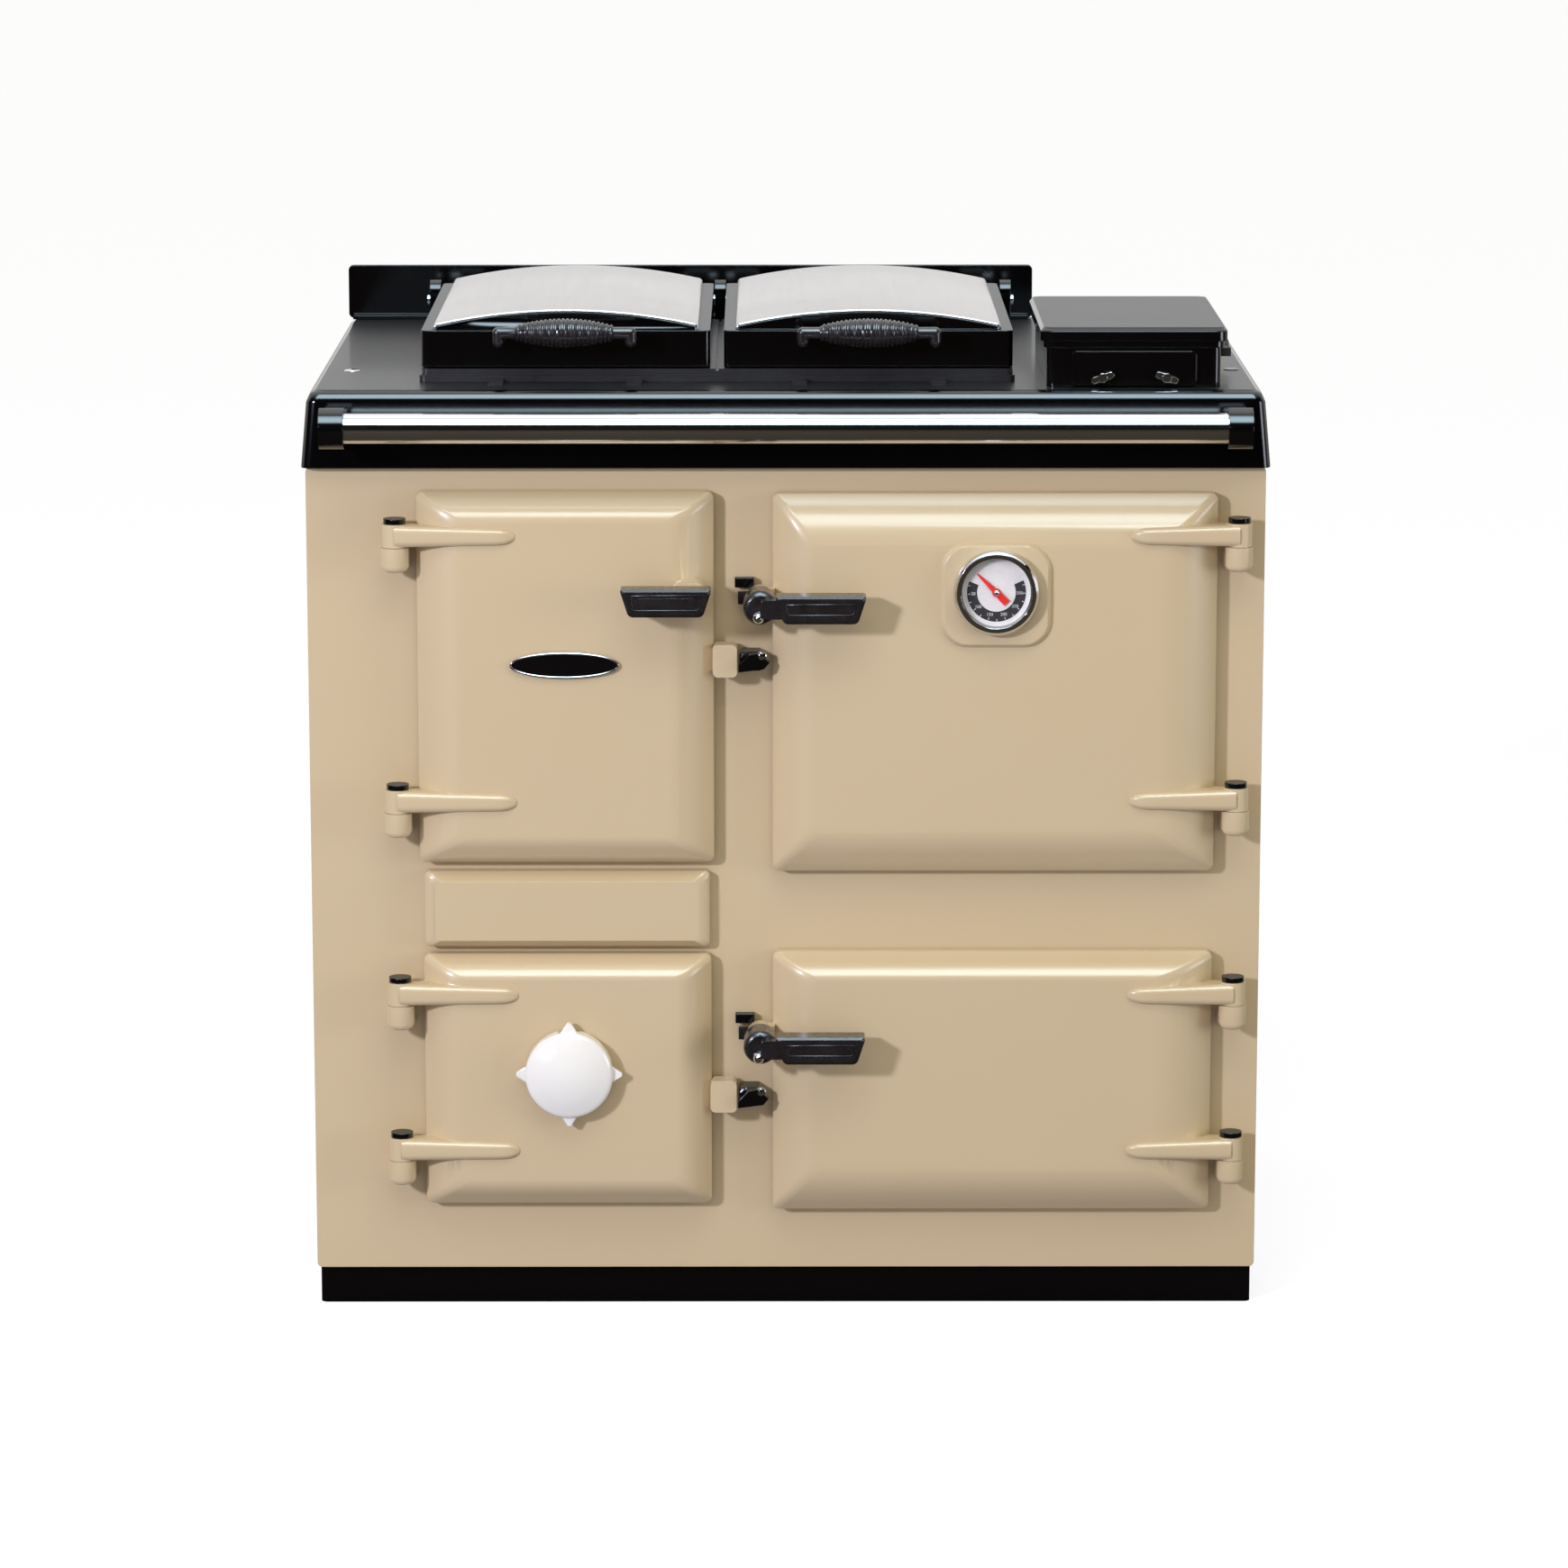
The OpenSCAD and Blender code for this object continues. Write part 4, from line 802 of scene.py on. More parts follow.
def on_seeds(tree: GeoTree, shape: Socket) -> Socket:
    """Sets a shape on each seed, turned to the seed's facing and spun at random.

    Args:
        tree: The tree.
        shape: What is set.

    Returns:
        The instances.
    """
    named = "GeometryNodeInputNamedAttribute"
    facing = tree.out(named, {"Name": "facing"}, data_type="FLOAT_VECTOR")
    spin = tree.out(named, {"Name": "spin"}, data_type="FLOAT")
    turned = tree.out("FunctionNodeAlignRotationToVector", {"Vector": facing}, axis="Z")
    around = tree.out(
        "FunctionNodeAxisAngleToRotation", {"Axis": (0.0, 0.0, 1.0), "Angle": spin}
    )
    both = tree.out(
        "FunctionNodeRotateRotation", {"Rotation": turned, "Rotate By": around},
        rotation_space="LOCAL",
    )
    what = {"Points": tree.seeds, "Instance": shape, "Rotation": both}
    return tree.out("GeometryNodeInstanceOnPoints", what)


def tick_tree() -> GeoTree:
    """Makes a tree that sets a thin bar on each seed, along its facing.

    Returns:
        The tree.
    """
    tree = GeoTree("dial_ticks", Finish.DIAL)
    size = tree.xyz(
        tree.size("Width", 0.0007), tree.size("Thickness", 0.0001), tree.size("Length", 0.003)
    )
    return tree.close(on_seeds(tree, tree.out("GeometryNodeMeshCube", {"Size": size})))


def rope_tree() -> GeoTree:
    """Makes a tree that lays a five-strand rope along a closed path.

    Returns:
        The tree.
    """
    tree = GeoTree("seal_rope", Finish.ROPE)
    radius = tree.size("Rope radius", 0.00435)
    turns = tree.size("Turns", 40.0)
    loop = tree.out("GeometryNodeMeshToCurve", {"Mesh": tree.seeds})
    even = tree.out("GeometryNodeResampleCurve", {"Curve": loop, "Count": 640})
    along = tree.add("GeometryNodeSplineParameter").outputs["Factor"]
    tilt = tree.times(tree.times(along, turns), 2 * math.pi)
    path = tree.out("GeometryNodeSetCurveTilt", {"Curve": even, "Tilt": tilt})
    lobes = tree.sum("COSINE", tree.times(along, 10 * math.pi))
    swell = tree.sum("ADD", tree.times(lobes, 0.13), 0.86)
    place = tree.out("GeometryNodeInputPosition")
    grown = tree.out("ShaderNodeVectorMath", {"Vector": place, "Scale": swell}, operation="SCALE")
    lobed = tree.out(
        "GeometryNodeSetPosition", {"Geometry": tree.circle(25, radius), "Position": grown}
    )
    return tree.close(tree.sweep(path, lobed))


def coil_tree() -> GeoTree:
    """Makes a tree that winds wire round a grip that swells towards its middle.

    Returns:
        The tree.
    """
    tree = GeoTree("grip_winding", Finish.GRIP)
    length = tree.size("Length", 0.09)
    most = tree.size("Middle radius", 0.0122)
    sag = tree.size("Sag", 0.0062)
    wire = tree.size("Wire radius", 0.0016)
    turns = tree.size("Turns", 22.0)
    spiral = tree.out(
        "GeometryNodeCurveSpiral",
        {"Resolution": 28, "Rotations": turns, "Start Radius": 1.0, "End Radius": 1.0,
         "Height": length},
    )
    along = tree.add("GeometryNodeSplineParameter").outputs["Factor"]
    off = tree.sum("SUBTRACT", tree.times(along, 2.0), 1.0)
    shape = tree.sum("SUBTRACT", most, tree.times(tree.times(off, off), sag))
    place = tree.out("GeometryNodeInputPosition")
    split = tree.add("ShaderNodeSeparateXYZ", {"Vector": place}).outputs
    where = tree.xyz(
        tree.sum("SUBTRACT", split["Z"], tree.times(length, 0.5)),
        tree.times(split["X"], shape), tree.times(split["Y"], shape),
    )
    wound = tree.out("GeometryNodeSetPosition", {"Geometry": spiral, "Position": where})
    body = tree.sweep(wound, tree.circle(8, wire), caps=True)
    what = {"Points": tree.seeds, "Instance": body}
    return tree.close(tree.out("GeometryNodeInstanceOnPoints", what))


@dataclass(frozen=True)
class Seed:
    """A place for a repeated piece, the way it faces, and its spin."""

    place: Vector
    facing: tuple[float, float, float]
    spin: float = 0.0


def seed_mesh(seeds: Sequence[Seed]) -> bpy.types.Mesh:
    """Makes a mesh of points with facing and spin attributes.

    Args:
        seeds: The seeds.

    Returns:
        The mesh.
    """
    mesh = bpy.data.meshes.new("seeds")
    mesh.from_pydata([seed.place for seed in seeds], [], [])
    mesh.attributes.new("facing", "FLOAT_VECTOR", "POINT")
    mesh.attributes.new("spin", "FLOAT", "POINT")
    for index, seed in enumerate(seeds):
        mesh.attributes["facing"].data[index].vector = seed.facing
        mesh.attributes["spin"].data[index].value = seed.spin
    return mesh


def lathe(
    outline: Sequence[tuple[float, float]], place: Vector, axis: Sequence[float],
    steps: int = 40,
) -> bpy.types.Mesh:
    """Turns an outline about an axis.

    Args:
        outline: Radius and distance along the axis, in metres, from end to end.
        place: Where the axis starts.
        axis: Its direction.
        steps: Steps round it.

    Returns:
        A closed mesh with its faces outwards.
    """
    turn = Vector(axis).normalized().to_track_quat("Z", "Y").to_matrix().to_4x4()
    move = Matrix.Translation(place) @ turn
    work = bmesh.new()
    rings: list[list[bmesh.types.BMVert]] = []
    for radius, along in outline:
        count = 1 if radius < 1e-7 else steps
        rings.append([
            work.verts.new(move @ Vector((
                radius * math.cos(2 * math.pi * k / steps),
                radius * math.sin(2 * math.pi * k / steps), along,
            ))) for k in range(count)
        ])
    for low, high in zip(rings, rings[1:]):
        for k in range(steps):
            ring = [low[k % len(low)], low[(k + 1) % len(low)],
                    high[(k + 1) % len(high)], high[k % len(high)]]
            corners = list(dict.fromkeys(ring))
            if len(corners) > 2:
                work.faces.new(corners)
    return finished(work, 40.0)


def finished(work: bmesh.types.BMesh, sharp: float) -> bpy.types.Mesh:
    """Turns work into a smooth mesh with its faces outwards.

    Args:
        work: The work, which ends here.
        sharp: Edges over this angle, in degrees, stay sharp.

    Returns:
        The mesh.
    """
    bmesh.ops.remove_doubles(work, verts=work.verts, dist=1e-7)
    bmesh.ops.recalc_face_normals(work, faces=work.faces)
    mesh = bpy.data.meshes.new("piece")
    work.to_mesh(mesh)
    work.free()
    return smooth(mesh, sharp)


def skin(
    work: bmesh.types.BMesh, rings: Sequence[Sequence[bmesh.types.BMVert]], closed: bool = True
) -> None:
    """Spans faces from each ring of corners to the next.

    Args:
        work: Where the faces go.
        rings: Rings with the same number of corners.
        closed: Whether each ring's last corner joins its first.
    """
    for one, two in zip(rings, rings[1:]):
        count = len(one)
        for k in range(count if closed else count - 1):
            work.faces.new([one[k], one[(k + 1) % count], two[(k + 1) % count], two[k]])


def prism(outline: Sequence[tuple[float, float]], depth: tuple[float, float]) -> bpy.types.Mesh:
    """Makes a flat piece that faces the front.

    Args:
        outline: X and Z of its corners in metres.
        depth: Its front and back Y in metres.

    Returns:
        A closed mesh.
    """
    work = bmesh.new()
    front = [work.verts.new((x, depth[0], z)) for x, z in outline]
    back = [work.verts.new((x, depth[1], z)) for x, z in outline]
    work.faces.new(front)
    work.faces.new(list(reversed(back)))
    skin(work, [front, back])
    return finished(work, 30.0)


def tube(path: Sequence[Vector], radius: float, up: Vector, steps: int = 10) -> bpy.types.Mesh:
    """Runs a round bar along a closed path that lies square to up.

    Args:
        path: The path's points.
        radius: The bar's radius.
        up: The direction that the path's plane faces.
        steps: Steps round the bar.

    Returns:
        A closed mesh.
    """
    work = bmesh.new()
    count = len(path)
    rings: list[list[bmesh.types.BMVert]] = []
    for k, point in enumerate(path):
        ahead = (path[(k + 1) % count] - path[k - 1]).normalized()
        side = ahead.cross(up).normalized()
        rings.append([
            work.verts.new(point + radius * (
                math.cos(2 * math.pi * j / steps) * side + math.sin(2 * math.pi * j / steps) * up
            )) for j in range(steps)
        ])
    skin(work, rings + rings[:1])
    return finished(work, 60.0)


def mark_upward(mesh: bpy.types.Mesh) -> None:
    """Marks a mesh's faces that look up, which wear duller.

    Args:
        mesh: The mesh.
    """
    mark = mesh.attributes.new("looks_up", "FLOAT", "FACE")
    for polygon in mesh.polygons:
        mark.data[polygon.index].value = min(1.0, max(0.0, (polygon.normal.z - 0.8) / 0.18))


class Workshop:
    """Turns CAD nodes and meshes into finished pieces."""

    def __init__(self, loaded: dict) -> None:
        """Keeps the CAD nodes, and which body each rides on.
        """
        self.nodes: dict[str, bpy.types.Object] = loaded["nodes"]
        self.body_of: dict[str, str] = {
            node: body
            for body, members in loaded["record"]["behaviour"]["bodies"].items()
            for node in members
        }

    def refine(self, node: str, dress: Dress) -> bpy.types.Object:
        """Replaces a CAD node by a merged copy with smooth faces.

        Args:
            node: The node's name.
            dress: Its finish and sharp edges.

        Returns:
            The new piece.
        """
        work = bmesh.new()
        work.from_mesh(self.nodes[node].data)
        bmesh.ops.remove_doubles(work, verts=work.verts, dist=4e-6)
        bmesh.ops.dissolve_limit(
            work, angle_limit=math.radians(0.4), verts=work.verts, edges=work.edges
        )
        mesh = bpy.data.meshes.new(f"{node}_dressed")
        work.to_mesh(mesh)
        work.free()
        piece = self.place(f"{node}_dressed", mesh, dress.finish, self.body_of[node], node)
        smooth(mesh, dress.sharp)
        even = piece.modifiers.new("even", "WEIGHTED_NORMAL")
        even.keep_sharp = True
        even.weight = 80
        self.settle(piece)
        mark_upward(piece.data)
        return piece

    def settle(self, piece: bpy.types.Object) -> None:
        """Turns a piece's modifiers into its plain mesh.

        Args:
            piece: The piece.
        """
        mesh = plain_mesh(piece)
        piece.modifiers.clear()
        piece.data = mesh

    def place(
        self, name: str, mesh: bpy.types.Mesh, finish: Finish, body: str, *stands_for: str
    ) -> bpy.types.Object:
        """Links a mesh as a piece.

        Args:
            name: The piece's name.
            mesh: Its mesh, already in place.
            finish: Its finish.
            body: The body it rides on.
            *stands_for: CAD nodes that it replaces.

        Returns:
            The piece.
        """
        piece = linked(name, mesh)
        mesh.materials.clear()
        mesh.materials.append(PAINT(finish))
        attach(piece, body)
        if stands_for:
            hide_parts(*stands_for)
        LOG.info("made %s for %s", name, body)
        return piece

    def turn(
        self, name: str, outline: Sequence[tuple[float, float]], place: Vector,
        axis: Sequence[float], finish: Finish, body: str, steps: int = 32,
    ) -> None:
        """Turns an outline about an axis and places it.

        Args:
            name: The piece's name.
            outline: Radius and distance along the axis in millimetres.
            place: Where the axis starts.
            axis: Its direction.
            finish: The piece's finish.
            body: The body it rides on.
            steps: Steps round it.
        """
        metres = [(radius * MM, along * MM) for radius, along in outline]
        self.place(name, lathe(metres, place, axis, steps), finish, body)

    def grow(
        self, name: str, tree: GeoTree, seeds: bpy.types.Mesh, body: str,
        sizes: dict[str, float] | None = None, *stands_for: str,
    ) -> bpy.types.Object:
        """Runs a Geometry Nodes tree and keeps its result as a plain piece.

        Args:
            name: The piece's name.
            tree: The tree.
            seeds: What the tree starts from.
            body: The body it rides on.
            sizes: Values for the tree's named sizes.
            *stands_for: CAD nodes that it replaces.

        Returns:
            The piece.
        """
        work = linked(f"{name}_work", seeds)
        modifier = work.modifiers.new("grow", "NODES")
        modifier.node_group = tree.group
        for key, value in (sizes or {}).items():
            modifier[tree.ids[key]] = value
        mesh = plain_mesh(work)
        bpy.data.objects.remove(work)
        return self.place(name, smooth(mesh, 35.0), tree.finish, body, *stands_for)


SHOP = Workshop(frame)


# Sub-assemblies ----------------------------------------------------------------


CREAM, IRON, CHROME, BLACK, LID, GRIP, ZINC = (
    Dress(finish) for finish in (
        Finish.CREAM, Finish.IRON, Finish.CHROME, Finish.BLACK, Finish.LID, Finish.GRIP,
        Finish.ZINC,
    )
)
ROUNDER_BLACK = Dress(Finish.BLACK, 50.0)
DRESSES: dict[str, Dress] = {
    "front_plate": CREAM, "left_side_panel": CREAM, "right_side_panel": CREAM,
    "centre_plate": Dress(Finish.CREAM, 50.0), "hinge_lugs": CREAM, "fire_door": CREAM,
    "ashpit_door": CREAM, "main_oven_door": CREAM, "lower_oven_door": CREAM,
    "plinth": BLACK, "top_plate": ROUNDER_BLACK, "splashback": BLACK, "flue_box": BLACK,
    "flue_box_cover": ROUNDER_BLACK, "towel_rail_brackets": BLACK, "door_hinge_pins": BLACK,
    "door_catches": BLACK, "fire_door_plate": BLACK, "left_lid_frame": BLACK,
    "right_lid_frame": BLACK, "back_panel": ZINC, "flue_collar": IRON,
    "hotplate": Dress(Finish.HOT), "left_lid_liner": LID, "right_lid_liner": LID,
    "lid_hinge_posts": BLACK, "lid_hinge_pins": CHROME, "left_lid_grip": GRIP,
    "right_lid_grip": GRIP, "flue_box_wing_nuts": CHROME, "flue_damper": IRON,
    "towel_rail": CHROME, "fire_door_liner": IRON, "fire_door_grip": GRIP,
    "air_wheel_stud": CHROME, "air_wheel_washer": Dress(Finish.BRASS),
    "air_wheel": Dress(Finish.WHEEL), "main_oven_door_liner": LID, "main_oven_lever": GRIP,
    "gauge_case": CHROME, "gauge_dial": Dress(Finish.DIAL), "gauge_pointer": Dress(Finish.RED),
    "gauge_glass": Dress(Finish.GLASS), "lower_oven_door_liner": LID,
    "lower_oven_lever": GRIP, "main_oven_box": IRON, "main_oven_shelf": CHROME,
    "lower_oven_box": IRON, "lower_oven_shelf": CHROME, "firebox": IRON,
    "firebricks": Dress(Finish.BRICK), "boiler": IRON, "bottom_grate": IRON, "ash_pan": ZINC,
}


@dataclass
class Castings:
    """The cooker's solid pieces, each in its finish."""

    dresses: dict[str, Dress] = field(default_factory=lambda: DRESSES)

    def build(self) -> None:
        """Dresses every node in the table."""
        for node, dress in self.dresses.items():
            SHOP.refine(node, dress)


@dataclass
class Lids:
    """The two lids' pressed domes and the windings of their grips."""

    wall: float = 1.6 * MM
    corner: float = 4.5 * MM
    rise: float = 14.0 * MM
    bead: float = 2.0 * MM
    grip_radius: float = 12.5 * MM
    grip_length: float = 90.0 * MM

    def build(self) -> None:
        """Makes both domes and both windings."""
        tree = coil_tree()
        for side in ("left", "right"):
            body = SHOP.body_of[f"{side}_lid_dome"]
            self.dome(f"{side}_lid_dome", body)
            low, high = corners(f"{side}_lid_grip")
            radius = self.grip_radius
            axis = Vector(((low.x + high.x) / 2, low.y + radius, high.z - radius))
            SHOP.grow(
                f"{side}_lid_grip_winding", tree, seed_mesh([Seed(axis, (0, 0, 1))]), body,
                {"Length": self.grip_length},
            )

    def section(self, half: float, height: float, inset: float) -> list[tuple[float, float]]:
        """Returns half of a dome's arched section, from its foot to its crown.

        Args:
            half: Half its width.
            height: Its crown's height over its foot.
            inset: How far the whole section is drawn in.

        Returns:
            Distances from the middle and heights over the foot.
        """
        radius = (half**2 + self.rise**2) / (2 * self.rise)
        centre = height - radius
        side, arc = half - inset, radius - inset
        turn = max(self.corner - inset, 0.4 * MM)
        # the corner's circle touches the side and the arch
        x = side - turn
        z = centre + math.sqrt((arc - turn) ** 2 - x**2)
        lean = math.atan2(x, z - centre)
        points = [(side, 0.0)]
        for k in range(7):
            angle = (math.pi / 2 - lean) * k / 6
            points.append((x + turn * math.cos(angle), z + turn * math.sin(angle)))
        for k in range(1, 17):
            angle = lean * (1 - k / 16)
            points.append((arc * math.sin(angle), centre + arc * math.cos(angle)))
        return points

    def dome(self, node: str, body: str) -> None:
        """Makes the dome that replaces a node, with rolled edges.

        Args:
            node: The node's name.
            body: The body it rides on.
        """
        low, high = corners(node)
        half, height = (high.x - low.x) / 2, high.z - low.z
        mid = (high.x + low.x) / 2
        roll, bead = self.corner, self.bead
        turns = [math.radians(15 * k) for k in range(13)]
        stations = [
            (low.y + bead * (1 - math.sin(turn)), bead * (1 + math.cos(turn)))
            for turn in turns
        ]
        stations += [
            (high.y - roll * (1 - math.sin(turn)), roll * (1 - math.cos(turn)))
            for turn in turns[:7]
        ]
        work = bmesh.new()
        rings: list[list[bmesh.types.BMVert]] = []
        for y, inset in stations:
            right = self.section(half, height, inset)
            left = [(-x, z) for x, z in reversed(right[:-1])]
            rings.append([
                work.verts.new((mid + x, y, low.z + z)) for x, z in right + left
            ])
        skin(work, rings, closed=False)
        work.faces.new(rings[-1])
        bmesh.ops.recalc_face_normals(work, faces=work.faces)
        crown = max(work.faces, key=lambda face: face.calc_center_median().z)
        if crown.normal.z < 0:
            bmesh.ops.reverse_faces(work, faces=work.faces)
        mesh = bpy.data.meshes.new(f"{node}_rolled")
        work.to_mesh(mesh)
        work.free()
        piece = SHOP.place(f"{node}_rolled", smooth(mesh), Finish.LID, body, node)
        shell = piece.modifiers.new("wall", "SOLIDIFY")
        shell.thickness = self.wall
        shell.offset = -1.0
        SHOP.settle(piece)
        piece.data.set_sharp_from_angle(angle=math.radians(40))


@dataclass(frozen=True)
class DoorSet:
    """One door's arms: where they are, and the face that they run onto."""

    node: str
    side: int
    from_foot: float
    from_top: float
    face: float
    reach: float


@dataclass
class Arms:
    """The hinge arms' round-nosed bars, which stand proud of the doors' faces."""

    knuckle: float = 12.0 * MM
    pin_y: float = -28.0 * MM
    root: float = 10.4 * MM
    nose: float = 7.6 * MM
    tip: float = 20.0 * MM
    proud: float = 6.0 * MM
    back: float = -24.0 * MM
    doors: tuple[DoorSet, ...] = (
        DoorSet("fire_door", 1, 62 * MM, 39 * MM, -38 * MM, 101 * MM),
        DoorSet("ashpit_door", 1, 58 * MM, 35 * MM, -38 * MM, 101 * MM),
        DoorSet("main_oven_door", -1, 72 * MM, 37 * MM, -40 * MM, 89 * MM),
        DoorSet("lower_oven_door", -1, 64 * MM, 37 * MM, -40 * MM, 89 * MM),
    )

    def build(self) -> None:
        """Makes the two bars of each door."""
        for door in self.doors:
            low, high = corners(door.node)
            pin = low.x + self.knuckle if door.side > 0 else high.x - self.knuckle
            for name, z in (("low", low.z + door.from_foot), ("high", high.z - door.from_top)):
                SHOP.place(
                    f"{door.node}_arm_{name}", self.bar(door, Vector((pin, FACE_Y, z))),
                    Finish.CREAM, SHOP.body_of[door.node],
                )

    def bar(self, door: DoorSet, pin: Vector) -> bpy.types.Mesh:
        """Makes a door's bar.

        Args:
            door: The door.
            pin: Its pin's place, on the front plate's face.

        Returns:
            The bar's mesh.
        """
        front = self.pin_y - self.knuckle - 1.5 * MM
        stations: list[tuple[float, float, float]] = []
        straight = door.reach - self.nose
        for k in range(7):
            share = k / 6
            stations.append((
                straight * share, front + (door.face - self.proud - front) * share,
                self.root + (self.nose - self.root) * share,
            ))
        for k in range(1, 8):
            turn = math.radians(12.5 * k)
            stations.append((
                straight + self.tip * math.sin(turn),
                door.face + 2 * MM - (self.proud + 2 * MM) * math.cos(turn),
                self.nose * math.cos(turn),
            ))
        work = bmesh.new()
        rings = []
        for along, y, half in stations:
            rings.append([
                work.verts.new(pin + Vector((door.side * along, ys, zs)))
                for ys, zs in self.section(y, half)
            ])
        skin(work, rings)
        work.faces.new(rings[0])
        work.faces.new(rings[-1])
        return finished(work, 50.0)

    def section(self, front: float, half: float) -> list[tuple[float, float]]:
        """Draws the outline across a bar.

        Args:
            front: Its front's Y.
            half: Half its height.

        Returns:
            Y and Z of each point.
        """
        round_ = 0.62 * half
        depth = min(round_, 0.8 * (self.back - front))
        points = [(self.back, -half)]
        for k in range(7):
            turn = math.radians(15 * k)
            points.append((
                front + depth * (1 - math.sin(turn)), -half + round_ * (1 - math.cos(turn))
            ))
        return points + [(y, -z) for y, z in reversed(points)]


@dataclass
class Ropes:
    """The braided seals in the doors' grooves."""

    radius: float = 4.35 * MM
    corner: float = 12.0 * MM
    pitch: float = 26.0 * MM

    def build(self) -> None:
        """Lays a rope in each door."""
        tree = rope_tree()
        for door in ("fire_door", "ashpit_door", "main_oven_door", "lower_oven_door"):
            node = f"{door}_rope"
            path = self.path(node)
            length = sum((b - a).length for a, b in zip(path, path[1:] + path[:1]))
            mesh = bpy.data.meshes.new(node)
            count = len(path)
            mesh.from_pydata(path, [(k, (k + 1) % count) for k in range(count)], [])
            SHOP.grow(
                f"{node}_braid", tree, mesh, SHOP.body_of[node],
                {"Rope radius": self.radius, "Turns": float(round(length / self.pitch))},
                node,
            )

    def path(self, node: str) -> list[Vector]:
        """Draws the axis of a CAD rope, a closed rectangle with round corners.

        Args:
            node: The rope's node.

        Returns:
            Its points.
        """
        low, high = corners(node)
        y = (low.y + high.y) / 2
        r = self.corner
        x = (low.x + self.radius + r, high.x - self.radius - r)
        z = (low.z + self.radius + r, high.z - self.radius - r)
        points: list[Vector] = []
        for turn, (cx, cz) in enumerate(((x[1], z[1]), (x[0], z[1]), (x[0], z[0]), (x[1], z[0]))):
            for k in range(9):
                angle = math.radians(90 * turn + 90 * k / 8)
                points.append(Vector((cx + r * math.cos(angle), y, cz + r * math.sin(angle))))
        return points


@dataclass
class Thermometer:
    """The dial's band, ticks and numbers, and the pointer's cap."""

    inner: float = 18.0 * MM
    outer: float = 27.5 * MM
    start: float = 25.0
    sweep: float = -228.0
    marks: int = 13

    def build(self) -> None:
        """Draws the dial."""
        low, high = corners("gauge_dial")
        self.mid = (low + high) / 2
        self.face = low.y
        body = SHOP.body_of["gauge_dial"]
        steps = 60
        angles = [
            math.radians(self.start + self.sweep * k / steps) for k in range(steps + 1)
        ]
        ring = [self.spot(a, self.outer) for a in angles]
        ring += [self.spot(a, self.inner) for a in reversed(angles)]
        SHOP.place(
            "gauge_band", prism(ring, (self.face - 0.08 * MM, self.face + 0.05 * MM)),
            Finish.INK, body,
        )
        seeds = []
        for k in range(self.marks):
            angle = math.radians(self.start + self.sweep * (k + 0.5) / self.marks)
            reach = 26.2 if k % 2 == 0 else 25.6
            x, z = self.spot(angle, reach * MM)
            seeds.append(Seed(
                Vector((x, self.face - 0.1 * MM, z)), (math.cos(angle), 0.0, math.sin(angle))
            ))
        SHOP.grow(
            "gauge_ticks", tick_tree(), seed_mesh(seeds), body,
            {"Width": 0.6 * MM, "Thickness": 0.08 * MM, "Length": 2.4 * MM},
        )
        self.numbers(body)
        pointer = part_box("gauge_pointer")[0][1]
        SHOP.turn(
            "gauge_pointer_cap",
            [(0, -1.4), (1.2, -1.3), (2.6, -0.6), (3.0, 0.2), (3.0, 0.6), (0, 0.6)],
            Vector((self.mid.x, pointer + 0.2 * MM, self.mid.z)), (0, 1, 0),
            Finish.CHROME, SHOP.body_of["gauge_pointer"],
        )

    def spot(self, angle: float, radius: float) -> tuple[float, float]:
        """Returns X and Z at an angle and radius on the dial."""
        return self.mid.x + radius * math.cos(angle), self.mid.z + radius * math.sin(angle)

    def numbers(self, body: str) -> None:
        """Sets plain numbers on the band.

        Args:
            body: The body they ride on.
        """
        for k in range(1, self.marks, 2):
            angle = math.radians(self.start + self.sweep * (self.marks - k - 0.5) / self.marks)
            data = bpy.data.curves.new("number", "FONT")
            data.body = str((k + 1) // 2 * 50)
            data.size = 4.2 * MM
            data.extrude = 0.04 * MM
            data.align_x = "CENTER"
            data.align_y = "CENTER"
            data.resolution_u = 3
            work = linked("number_work", data)
            mesh = plain_mesh(work)
            bpy.data.objects.remove(work)
            x, z = self.spot(angle, 21.6 * MM)
            mesh.transform(
                Matrix.Translation((x, self.face - 0.1 * MM, z))
                @ Matrix.Rotation(math.radians(90), 4, "X")
            )
            SHOP.place(f"gauge_number_{data.body}", mesh, Finish.DIAL, body)


